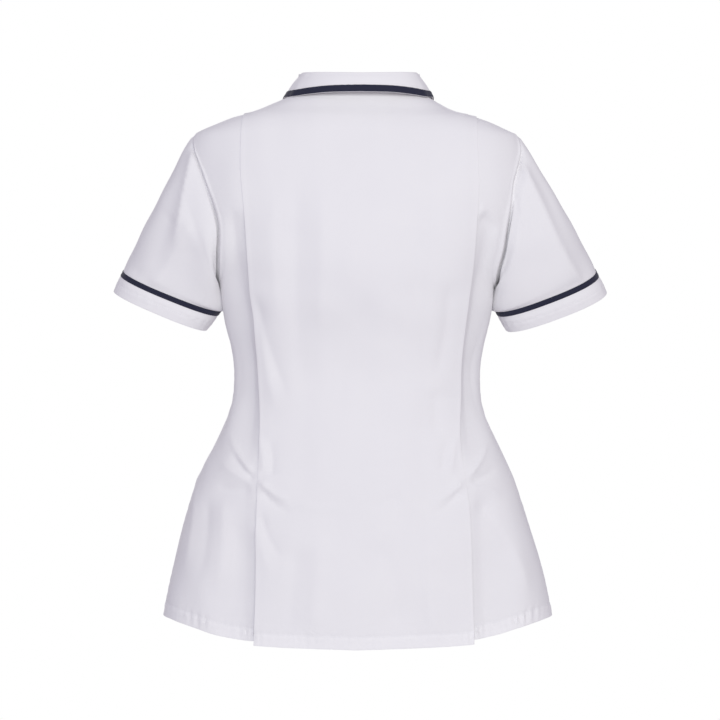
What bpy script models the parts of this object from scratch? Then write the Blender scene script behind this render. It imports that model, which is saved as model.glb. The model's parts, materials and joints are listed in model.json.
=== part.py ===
"""A short-sleeve lab coat, filled out with no wearer.

The coat faces -Y and stands in +Z, with its origin level with the sides of the neck, in the middle
of the neck opening. The wearer's left is +X. Every length below is in millimetres and becomes metres
when a mesh is made. Each piece of cloth is worked out as a surface of rows and columns of points,
and becomes a closed wall around that surface.
"""
import math

import bpy
import numpy as np

MM = 0.001

CLOTH = 1.2  # thickness of one layer of cloth
COLLAR_CLOTH = 1.4  # two layers of cloth with a stiffener
BRAID = 1.0  # thickness of the navy trim
LAYER_GAP = 0.4  # air between layers that are folded on each other
SEAM_GAP = 0.3  # air between two pieces at their seam
PITCH = CLOTH + LAYER_GAP

TRIM_WIDTH = 7.0
BAND_WIDTH = 25.0  # white band below the trim of a sleeve

NECK_HALF = 76.0  # half the width of the neck opening
NAPE_DROP = 2.0  # how far the centre back of the neckline lies below its sides
THROAT_DROP = 62.0  # the same for its centre front
NAPE_BEND = 2.0  # how soon the neckline climbs from its centre back, as a power of the cosine
THROAT_BEND = 1.6
NECK_HALF_DEPTH = 55.0  # half the depth of the ellipse that the collar's stand leans away from
SHOULDER_DROP = 53.5  # how far the shoulder's tip lies below the side of the neck
UNDERARM_DROP = 245.0
UNDERARM_SAG = 30.0  # how much lower the row through the underarms lies at the centre
HEM_DROP = 693.5  # centre back and centre front

BACK_SQUARE = 2.4  # exponent of the back's rounded section, 2 is an ellipse
FRONT_SQUARE = 2.1

ROWS_ABOVE = 12  # rows from shoulder to underarm
ROWS_BELOW = 14  # rows from underarm to hem
NECK_STEPS_BACK = 6  # columns along half the neckline of the back
NECK_STEPS_FRONT = 8
CENTRE_STEPS = 9  # columns of the back from its centre to the pleat
SIDE_STEPS = 7  # columns from the pleat to the side
FRONT_STEPS = 16  # columns of a front from the centre to the side
SLEEVE_ROWS = 7
FOLD_STEPS = 4  # flats around one turn of a pleat

PLEAT_DEPTH = 25.0  # how far the pleat goes in below its fold edge
PLEAT_SETTLE = 40.0  # width over which the raised centre panel comes down to the form
PLEAT_DIP_WIDTH = 30.0  # width of the hollow beside the pleat's open stretch
PLEAT_HEM_STEP = 5.0  # how much higher the side panel's hem is than the centre panel's
PLEAT_HEM_STEP_WIDTH = 120.0  # width over which that step fades towards the side
PLEAT_DIP_START = 4.0  # from the fold edge to where the hollow starts to rise

LAP = 15.0  # how far each front goes past the centre
LAP_SETTLE = 30.0  # width over which a front comes back to the form

BUTTONS = 6
BUTTON_RADIUS = 7.5
BUTTON_THICK = 2.6
FIRST_BUTTON_DROP = 76.0
BUTTON_SPACING = 95.0

COLLAR_TURN = 1.8  # radius of the roll along the collar's fold line
COLLAR_LEAN = 5.7  # how far the back of the fold line lies towards the wearer's right
COLLAR_CLEAR = 2.6  # from the coat's form to the middle of the collar's cloth
COLLAR_END = 1.2  # from the coat's middle to each end of the collar
COLLAR_BULGE = 2.0  # how far the fall stands off a straight line, out and up
COLLAR_BULGE_PLACE = 0.45  # where along the fall it does so most
COLLAR_FALL_ROWS = (0.3, 0.65, 1.0)  # rows of the fall, as shares of the way to the trim
COLLAR_LEAN_SHARES = (0.0, 1.0, 1.0, 0.6)  # lean at the neckline, mid stand, mid fall and edge


def table(names, *rows):
    """A table as one array for each named column."""
    return dict(zip(names.split(), np.array(rows, float).T))


# The coat's form: half its width, and its depth behind and in front of the side seams.
FORM = table(
    "drop half_width back_depth front_depth",
    (0, 76.0, 46, 46),
    (13.5, 101.5, 51, 47),
    (25, 126.0, 55.5, 48.5),
    (31.5, 151.0, 59.5, 50.5),
    (40.5, 175.0, 63.5, 53.5),
    (50, 196.5, 67, 57),
    (53.5, 203.5, 68, 58),
    (80, 214.0, 77, 72),
    (110, 214.0, 85, 90),
    (150, 209.0, 94, 112),
    (200, 196.0, 97, 130),
    (245, 174.5, 95, 137),
    (265, 172.0, 92, 137),
    (293, 167.0, 86, 134),
    (324, 159.4, 78, 124),
    (355, 155.6, 74, 113),
    (385, 156.6, 76, 109),
    (405, 161.2, 79, 110),
    (436, 174.0, 86, 112),
    (476, 193.0, 94, 115),
    (517, 209.6, 100, 117),
    (558, 222.2, 106, 119),
    (598, 233.0, 109, 121),
    (639, 242.0, 111, 122),
    (694, 252.0, 113, 123),
)

# How far the whole coat hangs to the wearer's left of its own middle.
SWAY = table(
    "drop shift",
    (0, 0.0),
    (30, 2.4),
    (60, 3.0),
    (110, 1.5),
    (150, 0.8),
    (240, 1.0),
    (310, 0.9),
    (370, 1.2),
    (450, 2.8),
    (540, 2.6),
    (600, 0.9),
    (700, 0.5),
)

# How much higher the hem is than at the centre, from the centre at 0 to the side seam at 1.
HEM = table(
    "across rise",
    (0.0, 0.0),
    (0.2, 2.4),
    (0.35, 5.0),
    (0.45, 11.5),
    (0.55, 21.0),
    (0.65, 27.7),
    (0.77, 31.7),
    (1.0, 33.0),
)

# The armhole by its way round from shoulder tip to underarm: how far it reaches back and forward,
# before the sine that brings both ends to the seams.
ARMHOLE = table(
    "way back_reach front_reach",
    (0.0, 42, 42),
    (0.3, 47, 50),
    (0.4, 50, 58),
    (0.5, 58, 66),
    (0.6, 64, 71),
    (0.8, 70, 72),
    (1.0, 72, 70),
)

# The fold edges of the two back pleats, and how deep the cloth beside them sinks.
PLEATS = table(
    "drop left_edge right_edge dip",
    (27, 141.0, 151.5, 0.0),
    (103, 143.3, 150.6, 0.0),
    (154, 140.0, 149.3, 0.0),
    (204, 136.3, 145.6, 4.0),
    (265, 132.0, 138.5, 7.0),
    (302, 127.4, 134.4, 8.0),
    (339, 124.3, 130.7, 8.0),
    (388, 121.8, 129.8, 7.0),
    (438, 119.1, 129.5, 5.0),
    (485, 120.5, 134.8, 0.0),
    (535, 122.8, 140.6, 2.5),
    (584, 124.5, 141.4, 3.5),
    (633, 125.5, 141.9, 4.0),
    (694, 127.5, 142.9, 4.0),
)

# The collar along half its length: the stand's rise and lean from the neckline to the fold line.
# Way 0 is the centre back, 1 the side of the neck, 2 the centre front.
STAND = table(
    "way rise lean",
    (0.0, 19.7, 4.0),
    (0.6, 21.0, 0.0),
    (1.0, 22.4, -3.8),
    (1.5, 19.0, 1.5),
    (2.0, 12.0, 6.0),
)

# The outer edge of the collar. Behind the side of the neck the depth is given, and in front of it
# the edge lies on the form.
COLLAR_EDGE = table(
    "way reach_x reach_y drop",
    (0.0, 0.0, 61.0, 4.5),
    (0.25, 34.0, 57.5, 4.8),
    (0.5, 64.0, 44.0, 6.0),
    (0.75, 83.4, 25.0, 7.2),
    (1.0, 94.2, 0.0, 5.5),
    (1.25, 96.4, -30.0, 24.0),
    (1.5, 88.0, -48.0, 52.0),
    (1.75, 67.0, -66.0, 80.0),
    (2.0, 43.0, -84.0, 100.0),
)

# The two ends of the sleeve's trim and band, as ellipses: the upper edge of the trim and the lower
# edge of the band. The long axis rises towards the outer end, and the deep one falls towards the
# back. Both sleeves have the same length round, and hang differently.
CUFFS = {
    "left": table(
        "centre_x centre_y centre_z half_long half_deep long_rise deep_fall",
        (235.8, -18.0, -249.8, 67.2, 52.0, 0.375, 0.155),
        (251.5, -21.5, -275.0, 64.2, 50.0, 0.390, 0.130),
    ),
    "right": table(
        "centre_x centre_y centre_z half_long half_deep long_rise deep_fall",
        (240.1, -20.0, -249.3, 68.9, 48.8, 0.356, 0.250),
        (254.4, -27.0, -275.0, 68.8, 43.5, 0.349, 0.270),
    ),
}

# The way that the sleeve leaves the armhole, at four places round it.
SLEEVE_START = {
    "top": (87.0, 0.0, -113.0),
    "back": (75.0, 5.0, -80.0),
    "underarm": (36.0, 0.0, -14.0),
    "front": (75.0, -25.0, -75.0),
}

# The largest folds of a sleeve. Way is as on the armhole, down is 0 at the armhole and 1 at the
# trim, and out is the height of the ridge, or less than nothing for a hollow.
SLEEVE_FOLDS = table(
    "way_start way_end way_width down_start down_end out",
    (0.14, 0.27, 0.075, 0.05, 0.95, 5.0),
    (0.30, 0.52, 0.100, 0.02, 0.75, -5.0),
    (-0.16, -0.26, 0.080, 0.05, 0.90, 4.0),
    (-0.33, -0.50, 0.100, 0.02, 0.70, -4.0),
)


def unit(vectors):
    """The vectors, each with a length of 1."""
    return vectors / np.maximum(np.linalg.norm(vectors, axis=-1, keepdims=True), 1e-9)


def ease(at, low, high):
    """0 below low and 1 above high, with a soft rise between them."""
    part = np.clip((at - low) / (high - low), 0.0, 1.0)
    return part * part * (3.0 - 2.0 * part)


def smooth(at, xs, ys):
    """A curve through the points (xs, ys) that doesn't overshoot them.

    Each span is a cubic, and the slope at a point is the weighted harmonic mean of the two chords
    beside it.
    """
    spans = np.diff(xs)
    chords = np.diff(ys) / spans
    slopes = np.zeros(len(xs))
    before = 2 * spans[1:] + spans[:-1]
    after = spans[1:] + 2 * spans[:-1]
    same = chords[:-1] * chords[1:] > 0
    low, high = chords[:-1][same], chords[1:][same]
    slopes[1:-1][same] = (before + after)[same] / (before[same] / low + after[same] / high)
    slopes[0], slopes[-1] = chords[0], chords[-1]
    at = np.asarray(at, float)
    span = np.clip(np.searchsorted(xs, at, side="right") - 1, 0, len(spans) - 1)
    width = spans[span]
    part = (at - xs[span]) / width
    return (
        ys[span] * (1 + 2 * part) * (1 - part) ** 2
        + slopes[span] * width * part * (1 - part) ** 2
        + ys[span + 1] * part**2 * (3 - 2 * part)
        + slopes[span + 1] * width * part**2 * (part - 1)
    )


def read(values, column, at, key="drop"):
    """One column of a table, read as a smooth curve over its key column."""
    return smooth(at, values[key], values[column])


def sizes_at(height, behind):
    """Half width, depth and section exponent of the form at a height, behind or in front."""
    deep = np.where(
        behind, read(FORM, "back_depth", -height), read(FORM, "front_depth", -height)
    )
    return read(FORM, "half_width", -height), deep, np.where(behind, BACK_SQUARE, FRONT_SQUARE)


def on_form(angle, height):
    """Points of the form: angle 0 is the centre back, 90 the wearer's left, 180 the centre front."""
    turn = np.radians(angle)
    across, away = np.sin(turn), np.cos(turn)
    wide, deep, square = sizes_at(height, away >= 0)
    reach = (np.abs(across) ** square + np.abs(away) ** square) ** (-1 / square)
    return np.stack([wide * reach * across, deep * reach * away, height + 0 * turn], -1)


def form_normal(points):
    """The directions that point straight out of the form at points on it."""
    x, y, height = points[..., 0], points[..., 1], points[..., 2]
    step = 0.5
    wide, deep, square = sizes_at(height, y >= 0)
    wide_up, deep_up, _ = sizes_at(height + step, y >= 0)
    wide_down, deep_down, _ = sizes_at(height - step, y >= 0)
    share_x, share_y = np.abs(x) / wide, np.abs(y) / deep
    slope_wide = (wide_up - wide_down) / (2 * step)
    slope_deep = (deep_up - deep_down) / (2 * step)
    return unit(
        np.stack(
            [
                np.sign(x) * share_x ** (square - 1) / wide,
                np.sign(y) * share_y ** (square - 1) / deep,
                -(share_x**square) * slope_wide / wide - share_y**square * slope_deep / deep,
            ],
            -1,
        )
    )


def depth_on_form(x, height, behind):
    """How far back or forward the form reaches at a distance from the centre and a height."""
    wide, deep, square = sizes_at(height, behind)
    return deep * np.maximum(1 - (np.abs(x) / wide) ** square, 0) ** (1 / square)


def angle_at(x, depth, height, behind):
    """The form's angle at a point, given as its distance from the centre and its depth."""
    wide, deep, _ = sizes_at(height, behind)
    turn = np.degrees(np.arctan2(x / wide, depth / deep))
    return np.where(behind, turn, 180 - turn)


def neckline(way, behind):
    """Points of half the neckline: way 0 is the centre and 1 the side of the neck."""
    turn = np.radians(90 * way)
    x = NECK_HALF * np.sin(turn)
    low, bend = (NAPE_DROP, NAPE_BEND) if behind else (THROAT_DROP, THROAT_BEND)
    drop = low * np.cos(turn) ** bend
    depth = depth_on_form(x, -drop, behind)
    return np.stack([x, depth if behind else -depth, -drop], -1)


def armhole(way, behind):
    """Points of half an armhole: way 0 is the shoulder's tip and 1 the underarm."""
    height = -SHOULDER_DROP - (UNDERARM_DROP - SHOULDER_DROP) * (1 - np.cos(np.pi * way)) / 2
    reach = read(ARMHOLE, "back_reach" if behind else "front_reach", way, "way")
    depth = reach * np.sin(np.pi * way)
    wide, deep, square = sizes_at(height, behind)
    x = wide * (1 - (depth / deep) ** square) ** (1 / square)
    return np.stack([x, depth if behind else -depth, height], -1)


def as_angle(points, behind):
    """Points of the form as pairs of angle and height."""
    x, y, height = points[..., 0], points[..., 1], points[..., 2]
    return np.stack([angle_at(x, np.abs(y), height, behind), height], -1)


def seam_lengths(behind):
    """The length of half the neckline, and of it and the shoulder seam together."""
    neck = neckline(np.linspace(0, 1, 200), behind)
    tip = armhole(np.array([0.0]), behind)[0]
    first = np.linalg.norm(np.diff(neck, axis=0), axis=1).sum()
    return first, first + float(np.linalg.norm(tip - neck[-1]))


def top_edge(across, behind):
    """The neckline and then the shoulder seam, as angle and height."""
    first, whole = seam_lengths(behind)
    share = first / whole
    neck = as_angle(neckline(np.clip(across / share, 0, 1), behind), behind)
    drop = SHOULDER_DROP * np.clip((across - share) / (1 - share), 0, 1)
    shoulder = np.stack([np.full_like(drop, 90.0), -drop], -1)
    return np.where((across <= share)[:, None], neck, shoulder)


def underarm_edge(across, behind):
    """The row through the underarm, from the centre to the side seam, as angle and height."""
    angle = 90 * across if behind else 180 - 90 * across
    return np.stack([angle, -UNDERARM_DROP - UNDERARM_SAG * (1 - across)], -1)


def upper_row(across, down, behind):
    """A row above the underarm, blended from the four edges of that part of the panel."""
    top, bottom = top_edge(across, behind), underarm_edge(across, behind)
    ends = np.array([0.0, 1.0])
    top_ends, bottom_ends = top_edge(ends, behind), underarm_edge(ends, behind)
    centre = top_ends[0] + (bottom_ends[0] - top_ends[0]) * down
    side = as_angle(armhole(np.array([down]), behind), behind)[0]
    across = across[:, None]
    blend = (1 - down) * top + down * bottom + (1 - across) * centre + across * side
    corners = (1 - across) * ((1 - down) * top_ends[0] + down * bottom_ends[0]) + across * (
        (1 - down) * top_ends[1] + down * bottom_ends[1]
    )
    return blend - corners


def lower_row(across, down, behind):
    """A row between the underarm and the hem, as angle and height."""
    top = underarm_edge(across, behind)
    hem = -HEM_DROP + read(HEM, "rise", across, "across")
    return np.stack([top[:, 0], top[:, 1] + (hem - top[:, 1]) * down], -1)


class Row:
    """One row of half a panel, from its centre to its side, on the wearer's left."""

    def __init__(self, number, behind):
        across = np.linspace(0, 1, 401)
        if number < ROWS_ABOVE:
            pairs = upper_row(across, number / ROWS_ABOVE, behind)
        else:
            pairs = lower_row(across, (number - ROWS_ABOVE) / ROWS_BELOW, behind)
        self.points = on_form(pairs[:, 0], pairs[:, 1])
        steps = np.linalg.norm(np.diff(self.points, axis=0), axis=1)
        self.along = np.concatenate([[0], np.cumsum(steps)])
        self.length = self.along[-1]
        self.across = across

    def neck_steps(self, steps, behind):
        """Distances from the centre of the neckline's columns, on the top row."""
        first, whole = seam_lengths(behind)
        return np.interp(np.linspace(0, first / whole, steps + 1), self.across, self.along)

    def at(self, along):
        """Points of the row at distances from the centre, less than nothing past it."""
        here = np.abs(along)
        points = np.stack([np.interp(here, self.along, self.points[:, k]) for k in range(3)], -1)
        points[:, 0] *= np.where(along < 0, -1, 1)
        return points


def rows_of(behind):
    """All rows of half a panel."""
    return [Row(number, behind) for number in range(ROWS_ABOVE + ROWS_BELOW + 1)]


def pleat_section(row, edges, first):
    """A row of half the back as distances along the form and out of it.

    The order is that of the cloth: centre panel, fold edge, layer below it, inner fold, side panel.
    The third array says how much of the hem's step each point takes.
    """
    heights = row.points[:, 2]
    gap = row.points[:, 0] - read(PLEATS, edges, -heights)
    fold = float(np.interp(0, gap, row.along))
    drop = -float(np.interp(fold, row.along, heights))
    dip = float(np.clip(read(PLEATS, "dip", drop), 0, None))
    start = fold - PLEAT_DEPTH
    if first:
        neck = row.neck_steps(NECK_STEPS_BACK, True)
        shoulder = np.linspace(neck[-1], start, CENTRE_STEPS - NECK_STEPS_BACK + 1)
        top = np.concatenate([neck, shoulder[1:]])
    else:
        top = np.linspace(0, start, CENTRE_STEPS + 1)
    lift = 2 * PITCH * ease(top, start - PLEAT_SETTLE, start)
    turn = np.linspace(0, np.pi, FOLD_STEPS + 1)
    edge_radius, inner_radius = PITCH / 2, (PITCH + dip) / 2
    middle = fold - PLEAT_DEPTH / 2
    side = fold + (row.length - fold) * np.arange(0, SIDE_STEPS + 1) / SIDE_STEPS
    rim = fold + PLEAT_DIP_START
    side_out = -dip * (1 - ease(side, rim, rim + PLEAT_DIP_WIDTH))
    pieces = [
        (top, lift, 0 * top),
        ([middle], [2 * PITCH], [0]),
        (
            fold - edge_radius + edge_radius * np.sin(turn),
            2 * PITCH - edge_radius + edge_radius * np.cos(turn),
            0 * turn,
        ),
        ([middle], [PITCH], [0.3]),
        (
            start + inner_radius - inner_radius * np.sin(turn),
            PITCH - inner_radius + inner_radius * np.cos(turn),
            0.5 + 0.5 * turn / np.pi,
        ),
        ([middle], [-dip], [1]),
        (side, side_out, 1 - ease(side, fold, fold + PLEAT_HEM_STEP_WIDTH)),
    ]
    return [np.concatenate([np.asarray(piece[k], float) for piece in pieces]) for k in range(3)]


def back_half(rows, edges):
    """The surface of the back on the wearer's left of its centre, with one pleat."""
    grid = []
    for number, row in enumerate(rows):
        along, out, step = pleat_section(row, edges, number == 0)
        base = row.at(along)
        points = base + form_normal(base) * out[:, None]
        share = max(0.0, (number - ROWS_ABOVE) / ROWS_BELOW)
        points[:, 2] += PLEAT_HEM_STEP * share**2 * step
        grid.append(points)
    return np.array(grid)


def past_centre(values):
    """Directions along a half neckline, with one more on the far side of the centre before them."""
    return np.concatenate([values[1:2] * (-1, 1, 1), values])


def front_half(rows, out):
    """The surface of a front on the wearer's left, from past the centre to the side seam.

    Out is how far the lapped stretch stands off the form.
    """
    grid = []
    for number, row in enumerate(rows):
        if number == 0:
            neck = row.neck_steps(NECK_STEPS_FRONT, False)
            shoulder = np.linspace(neck[-1], row.length, FRONT_STEPS - NECK_STEPS_FRONT + 1)
            along = np.concatenate([neck, shoulder[1:]])
        else:
            along = np.linspace(0, row.length, FRONT_STEPS + 1)
        along = np.concatenate([[-along[1] if number == 0 else -LAP], along])
        base = row.at(along)
        lift = out * (1 - ease(along, LAP + 1, LAP + LAP_SETTLE))
        directions = form_normal(base)
        if number == 0:
            directions[: NECK_STEPS_FRONT + 2] = past_centre(neck_seam(False)[0])
        grid.append(base + directions * lift[:, None])
    return np.array(grid)


def stand_step(way):
    """The step from the neckline to the collar's fold line, on the wearer's left."""
    behind = way <= 1
    base = np.where(
        behind[:, None],
        neckline(np.clip(way, 0, 1), True),
        neckline(np.clip(2 - way, 0, 1), False),
    )
    outward = unit(
        np.stack([base[:, 0] / NECK_HALF**2, base[:, 1] / NECK_HALF_DEPTH**2, 0 * way], -1)
    )
    rise, lean = read(STAND, "rise", way, "way"), read(STAND, "lean", way, "way")
    step = outward * lean[:, None]
    step[:, 2] += rise
    return base, outward, step


def bisector(before, here, after):
    """The direction halfway round a corner, and the stretch that keeps a wall's thickness there."""
    both = unit(here - before) + unit(after - here)
    return unit(both), 2 / np.maximum(np.linalg.norm(both, axis=-1, keepdims=True), 0.9)


def apart(inset, tangent, mitre):
    """The way back from a seam, long enough to leave the seam's gap on both sides of its mitre."""
    between = unit(np.cross(tangent, mitre))
    return inset / np.abs((inset * between).sum(-1, keepdims=True))


def neck_seam(behind):
    """Half the neck seam: wall direction, and the ways back into the coat and into the collar."""
    steps = NECK_STEPS_BACK if behind else NECK_STEPS_FRONT
    way = np.linspace(0, 1, steps + 1)
    here = neckline(way, behind)
    nearby = 0.01
    tangent = unit(
        neckline(np.clip(way + nearby, 0, 1), behind) - neckline(np.clip(way - nearby, 0, 1), behind)
    )
    tangent[0] = (1.0, 0.0, 0.0)
    tangent[-1] = (0.0, -1.0 if behind else 1.0, 0.0)
    collar_way = way if behind else 2 - way
    stand = unit(stand_step(collar_way)[2])
    coat = form_normal(here)
    collar = unit(np.cross(tangent, stand))
    collar *= np.sign((collar * coat).sum(-1, keepdims=True))
    both = unit(coat + collar)
    mitre = both / np.maximum((both * coat).sum(-1, keepdims=True), 0.5)
    into_coat = unit(np.cross(coat, tangent))
    into_coat *= -np.sign(into_coat[:, 2:])
    into_collar = unit(stand - (stand * tangent).sum(-1, keepdims=True) * tangent)
    return mitre, apart(into_coat, tangent, mitre), apart(into_collar, tangent, mitre)


def arm_round():
    """Numbers for the points round an armhole: from shoulder tip, behind, underarm, in front."""
    way = np.concatenate([np.arange(ROWS_ABOVE + 1), np.arange(ROWS_ABOVE - 1, 0, -1)]) / ROWS_ABOVE
    behind = np.arange(len(way)) <= ROWS_ABOVE
    return way, behind


def arm_points():
    """The points round the armhole on the wearer's left."""
    way, behind = arm_round()
    back, front = armhole(way, True), armhole(way, False)
    return np.where(behind[:, None], back, front)


def sleeve_start():
    """The way that the sleeve leaves each point of the armhole."""
    way, behind = arm_round()
    turn = np.pi * way * np.where(behind, 1, -1)
    top, back, under, front = (
        np.array(SLEEVE_START[name]) for name in ("top", "back", "underarm", "front")
    )
    return (
        (top + back + under + front) / 4
        + np.outer(np.cos(turn), top - under) / 2
        + np.outer(np.sin(turn), back - front) / 2
        + np.outer(np.cos(2 * turn), top - back + under - front) / 4
    )


def arm_seam():
    """The seam round the armhole: wall direction, and the ways into the coat and into the sleeve."""
    here = arm_points()
    tangent = unit(np.roll(here, -1, 0) - np.roll(here, 1, 0))
    coat, start = form_normal(here), sleeve_start()
    sleeve = unit(np.cross(tangent, start))
    sleeve *= np.sign((sleeve[0] * coat[0]).sum())
    both = unit(coat + sleeve)
    mitre = both / np.maximum((both * coat).sum(-1, keepdims=True), 0.5)
    into_coat = unit(np.cross(coat, tangent))
    into_coat *= np.sign((into_coat * (here - here.mean(0))).sum(-1, keepdims=True))
    into_sleeve = unit(start - (start * tangent).sum(-1, keepdims=True) * tangent)
    return mitre, apart(into_coat, tangent, mitre), apart(into_sleeve, tangent, mitre)


def grown(grid, closed):
    """The grid with one more row and column on each side, carried on past its edges."""
    if closed:
        grid = np.concatenate([grid[:, -1:], grid, grid[:, :1]], axis=1)
    else:
        grid = np.concatenate(
            [2 * grid[:, :1] - grid[:, 1:2], grid, 2 * grid[:, -1:] - grid[:, -2:-1]], axis=1
        )
    return np.concatenate([2 * grid[:1] - grid[1:2], grid, 2 * grid[-1:] - grid[-2:-1]], axis=0)


def wall_directions(grid, closed=False):
    """For each point, the direction through the wall, stretched at corners."""
    wide = grown(grid, closed)
    along, stretch_along = bisector(wide[1:-1, :-2], wide[1:-1, 1:-1], wide[1:-1, 2:])
    down, stretch_down = bisector(wide[:-2, 1:-1], wide[1:-1, 1:-1], wide[2:, 1:-1])
    return unit(np.cross(along, down)) * stretch_along * stretch_down


def mirrored(grid):
    """The grid seen in the coat's middle plane, with its columns in reverse order."""
    return (grid * (-1, 1, 1))[:, ::-1]


def halves_of_quads(number, points):
    """Two triangles for each quad of a grid of point numbers, cut along its shorter diagonal."""
    quads = (number[:-1, :-1], number[:-1, 1:], number[1:, 1:], number[1:, :-1])
    a, b, c, d = (corner.ravel() for corner in quads)
    first = np.linalg.norm(points[a] - points[c], axis=1)
    second = np.linalg.norm(points[b] - points[d], axis=1)
    falling = (first <= second)[:, None]
    one = np.where(falling, np.stack([a, b, c], -1), np.stack([a, b, d], -1))
    two = np.where(falling, np.stack([a, c, d], -1), np.stack([b, c, d], -1))
    return np.concatenate([one, two])


def wall(name, grid, through, thick, material, closed=False):
    """A closed wall around a surface: points through it on both sides, joined round the edges."""
    rows, cols = grid.shape[:2]
    count = rows * cols
    outer, inner = grid + through * thick / 2, grid - through * thick / 2
    number = np.arange(count).reshape(rows, cols)
    if closed:
        number = np.concatenate([number, number[:, :1]], axis=1)
    side = halves_of_quads(number, grid.reshape(-1, 3))
    faces = [side, side[:, ::-1] + count]
    points = np.concatenate([outer.reshape(-1, 3), inner.reshape(-1, 3)])
    edges = [number[0], number[-1][::-1]]
    if not closed:
        edges += [number[::-1, 0], number[:, -1]]
    for edge in edges:
        faces.append(halves_of_quads(np.stack([edge + count, edge]), points))
    solid(name, points, np.concatenate(faces), material)


def solid(name, points, faces, material):
    """An object of a closed mesh, given in millimetres, with its faces pointing out."""
    points = points.copy()
    points[:, 0] += read(SWAY, "shift", np.clip(-points[:, 2], 0, None))
    corners = points[faces]
    volume = (corners[:, 0] * np.cross(corners[:, 1], corners[:, 2])).sum()
    if volume < 0:
        faces = faces[:, ::-1]
    mesh = bpy.data.meshes.new(name)
    mesh.from_pydata((points * MM).tolist(), [], faces.tolist())
    mesh.shade_smooth()
    mesh.set_sharp_from_angle(angle=math.radians(40))
    mesh.materials.append(material)
    made = bpy.data.objects.new(name, mesh)
    bpy.context.scene.collection.objects.link(made)


def finish(name, colour, roughness):
    """A plain material with one colour."""
    material = bpy.data.materials.new(name)
    material.use_nodes = True
    shader = material.node_tree.nodes["Principled BSDF"]
    shader.inputs["Base Color"].default_value = (*colour, 1.0)
    shader.inputs["Roughness"].default_value = roughness
    shader.inputs["Metallic"].default_value = 0.0
    material.diffuse_color = (*colour, 1.0)
    return material


def side_edges(grid, through, inset, behind, side_column):
    """Sets a half panel's wall at its neckline, shoulder, armhole and side seam.

    The columns run from the centre at 0 to side_column, or to the last one.
    """
    mitre, into_coat, _ = arm_seam()
    half = slice(0, ROWS_ABOVE + 1)
    order = np.arange(ROWS_ABOVE + 1)
    if not behind:
        order = -order % len(mitre)
    through[half, side_column] = mitre[order]
    inset[half, side_column] = into_coat[order]
    beyond = slice(ROWS_ABOVE + 1, None)
    through[beyond, side_column] = form_normal(grid[beyond, side_column])
    away = np.array([0.0, 1.0 if behind else -1.0, 0.0])
    inset[ROWS_ABOVE:, side_column] += away
    return away


def shoulder_walls(grid, through, inset, away, columns):
    """Sets the wall along the shoulder seam, where it stands square to the seam."""
    wide = grown(grid, False)
    along, stretch = bisector(wide[1:2, :-2], wide[1:2, 1:-1], wide[1:2, 2:])
    through[0, columns] = (unit(np.cross(along[0], away)) * stretch[0])[columns]
    inset[0, columns] += away


def back(material):
    """The back: two halves that share the centre column, each with its pleat."""
    rows = rows_of(True)
    halves = []
    for edges in ("right_edge", "left_edge"):
        grid = back_half(rows, edges)
        through = wall_directions(grid)
        inset = np.zeros_like(grid)
        away = side_edges(grid, through, inset, True, -1)
        shoulder_walls(grid, through, inset, away, slice(NECK_STEPS_BACK, None))
        through[0, -1] = arm_seam()[0][0]
        mitre, into_coat, _ = neck_seam(True)
        through[0, : NECK_STEPS_BACK + 1] = mitre
        inset[0, : NECK_STEPS_BACK + 1] += into_coat
        halves.append((grid, through, inset))
    right = [mirrored(values)[:, :-1] for values in halves[0]]
    left = halves[1]
    grid, through, inset = (np.concatenate([a, b], axis=1) for a, b in zip(right, left))
    centre = right[0].shape[1]
    through[1:, centre] = unit(through[1:, centre] * (0, 1, 1))
    wall("back", grid + inset * SEAM_GAP / 2, through, CLOTH, material)


def front(name, side, material):
    """One front. The wearer's right lies over the left."""
    rows = rows_of(False)
    grid = front_half(rows, PITCH / 2 if side < 0 else -PITCH / 2)
    through = -wall_directions(grid)
    inset = np.zeros_like(grid)
    away = side_edges(grid, through, inset, False, -1)
    neck = slice(0, NECK_STEPS_FRONT + 2)
    shoulder_walls(grid, through, inset, away, slice(NECK_STEPS_FRONT + 1, None))
    through[0, -1] = arm_seam()[0][0]
    mitre, into_coat, _ = neck_seam(False)
    through[0, neck] = past_centre(mitre)
    inset[0, neck] += past_centre(into_coat)
    values = [grid, through, inset]
    if side < 0:
        values = [mirrored(part) for part in values]
    grid, through, inset = values
    wall(name, grid + inset * SEAM_GAP / 2, through, CLOTH, material)
    return grid


def cuff_edge(word, which):
    """The points round one of the two ellipses at a sleeve's end, as if it were the left one."""
    way, behind = arm_round()
    turn = (np.pi * way * np.where(behind, 1, -1))[:, None]
    size = {name: column[which] for name, column in CUFFS[word].items()}
    centre = np.array([size["centre_x"], size["centre_y"], size["centre_z"]])
    rise, fall = size["long_rise"], size["deep_fall"]
    long_axis = size["half_long"] * np.array([math.sqrt(1 - rise**2), 0.0, rise])
    deep_axis = size["half_deep"] * np.array([0.0, math.sqrt(1 - fall**2), -fall])
    return centre + np.cos(turn) * long_axis + np.sin(turn) * deep_axis


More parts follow.
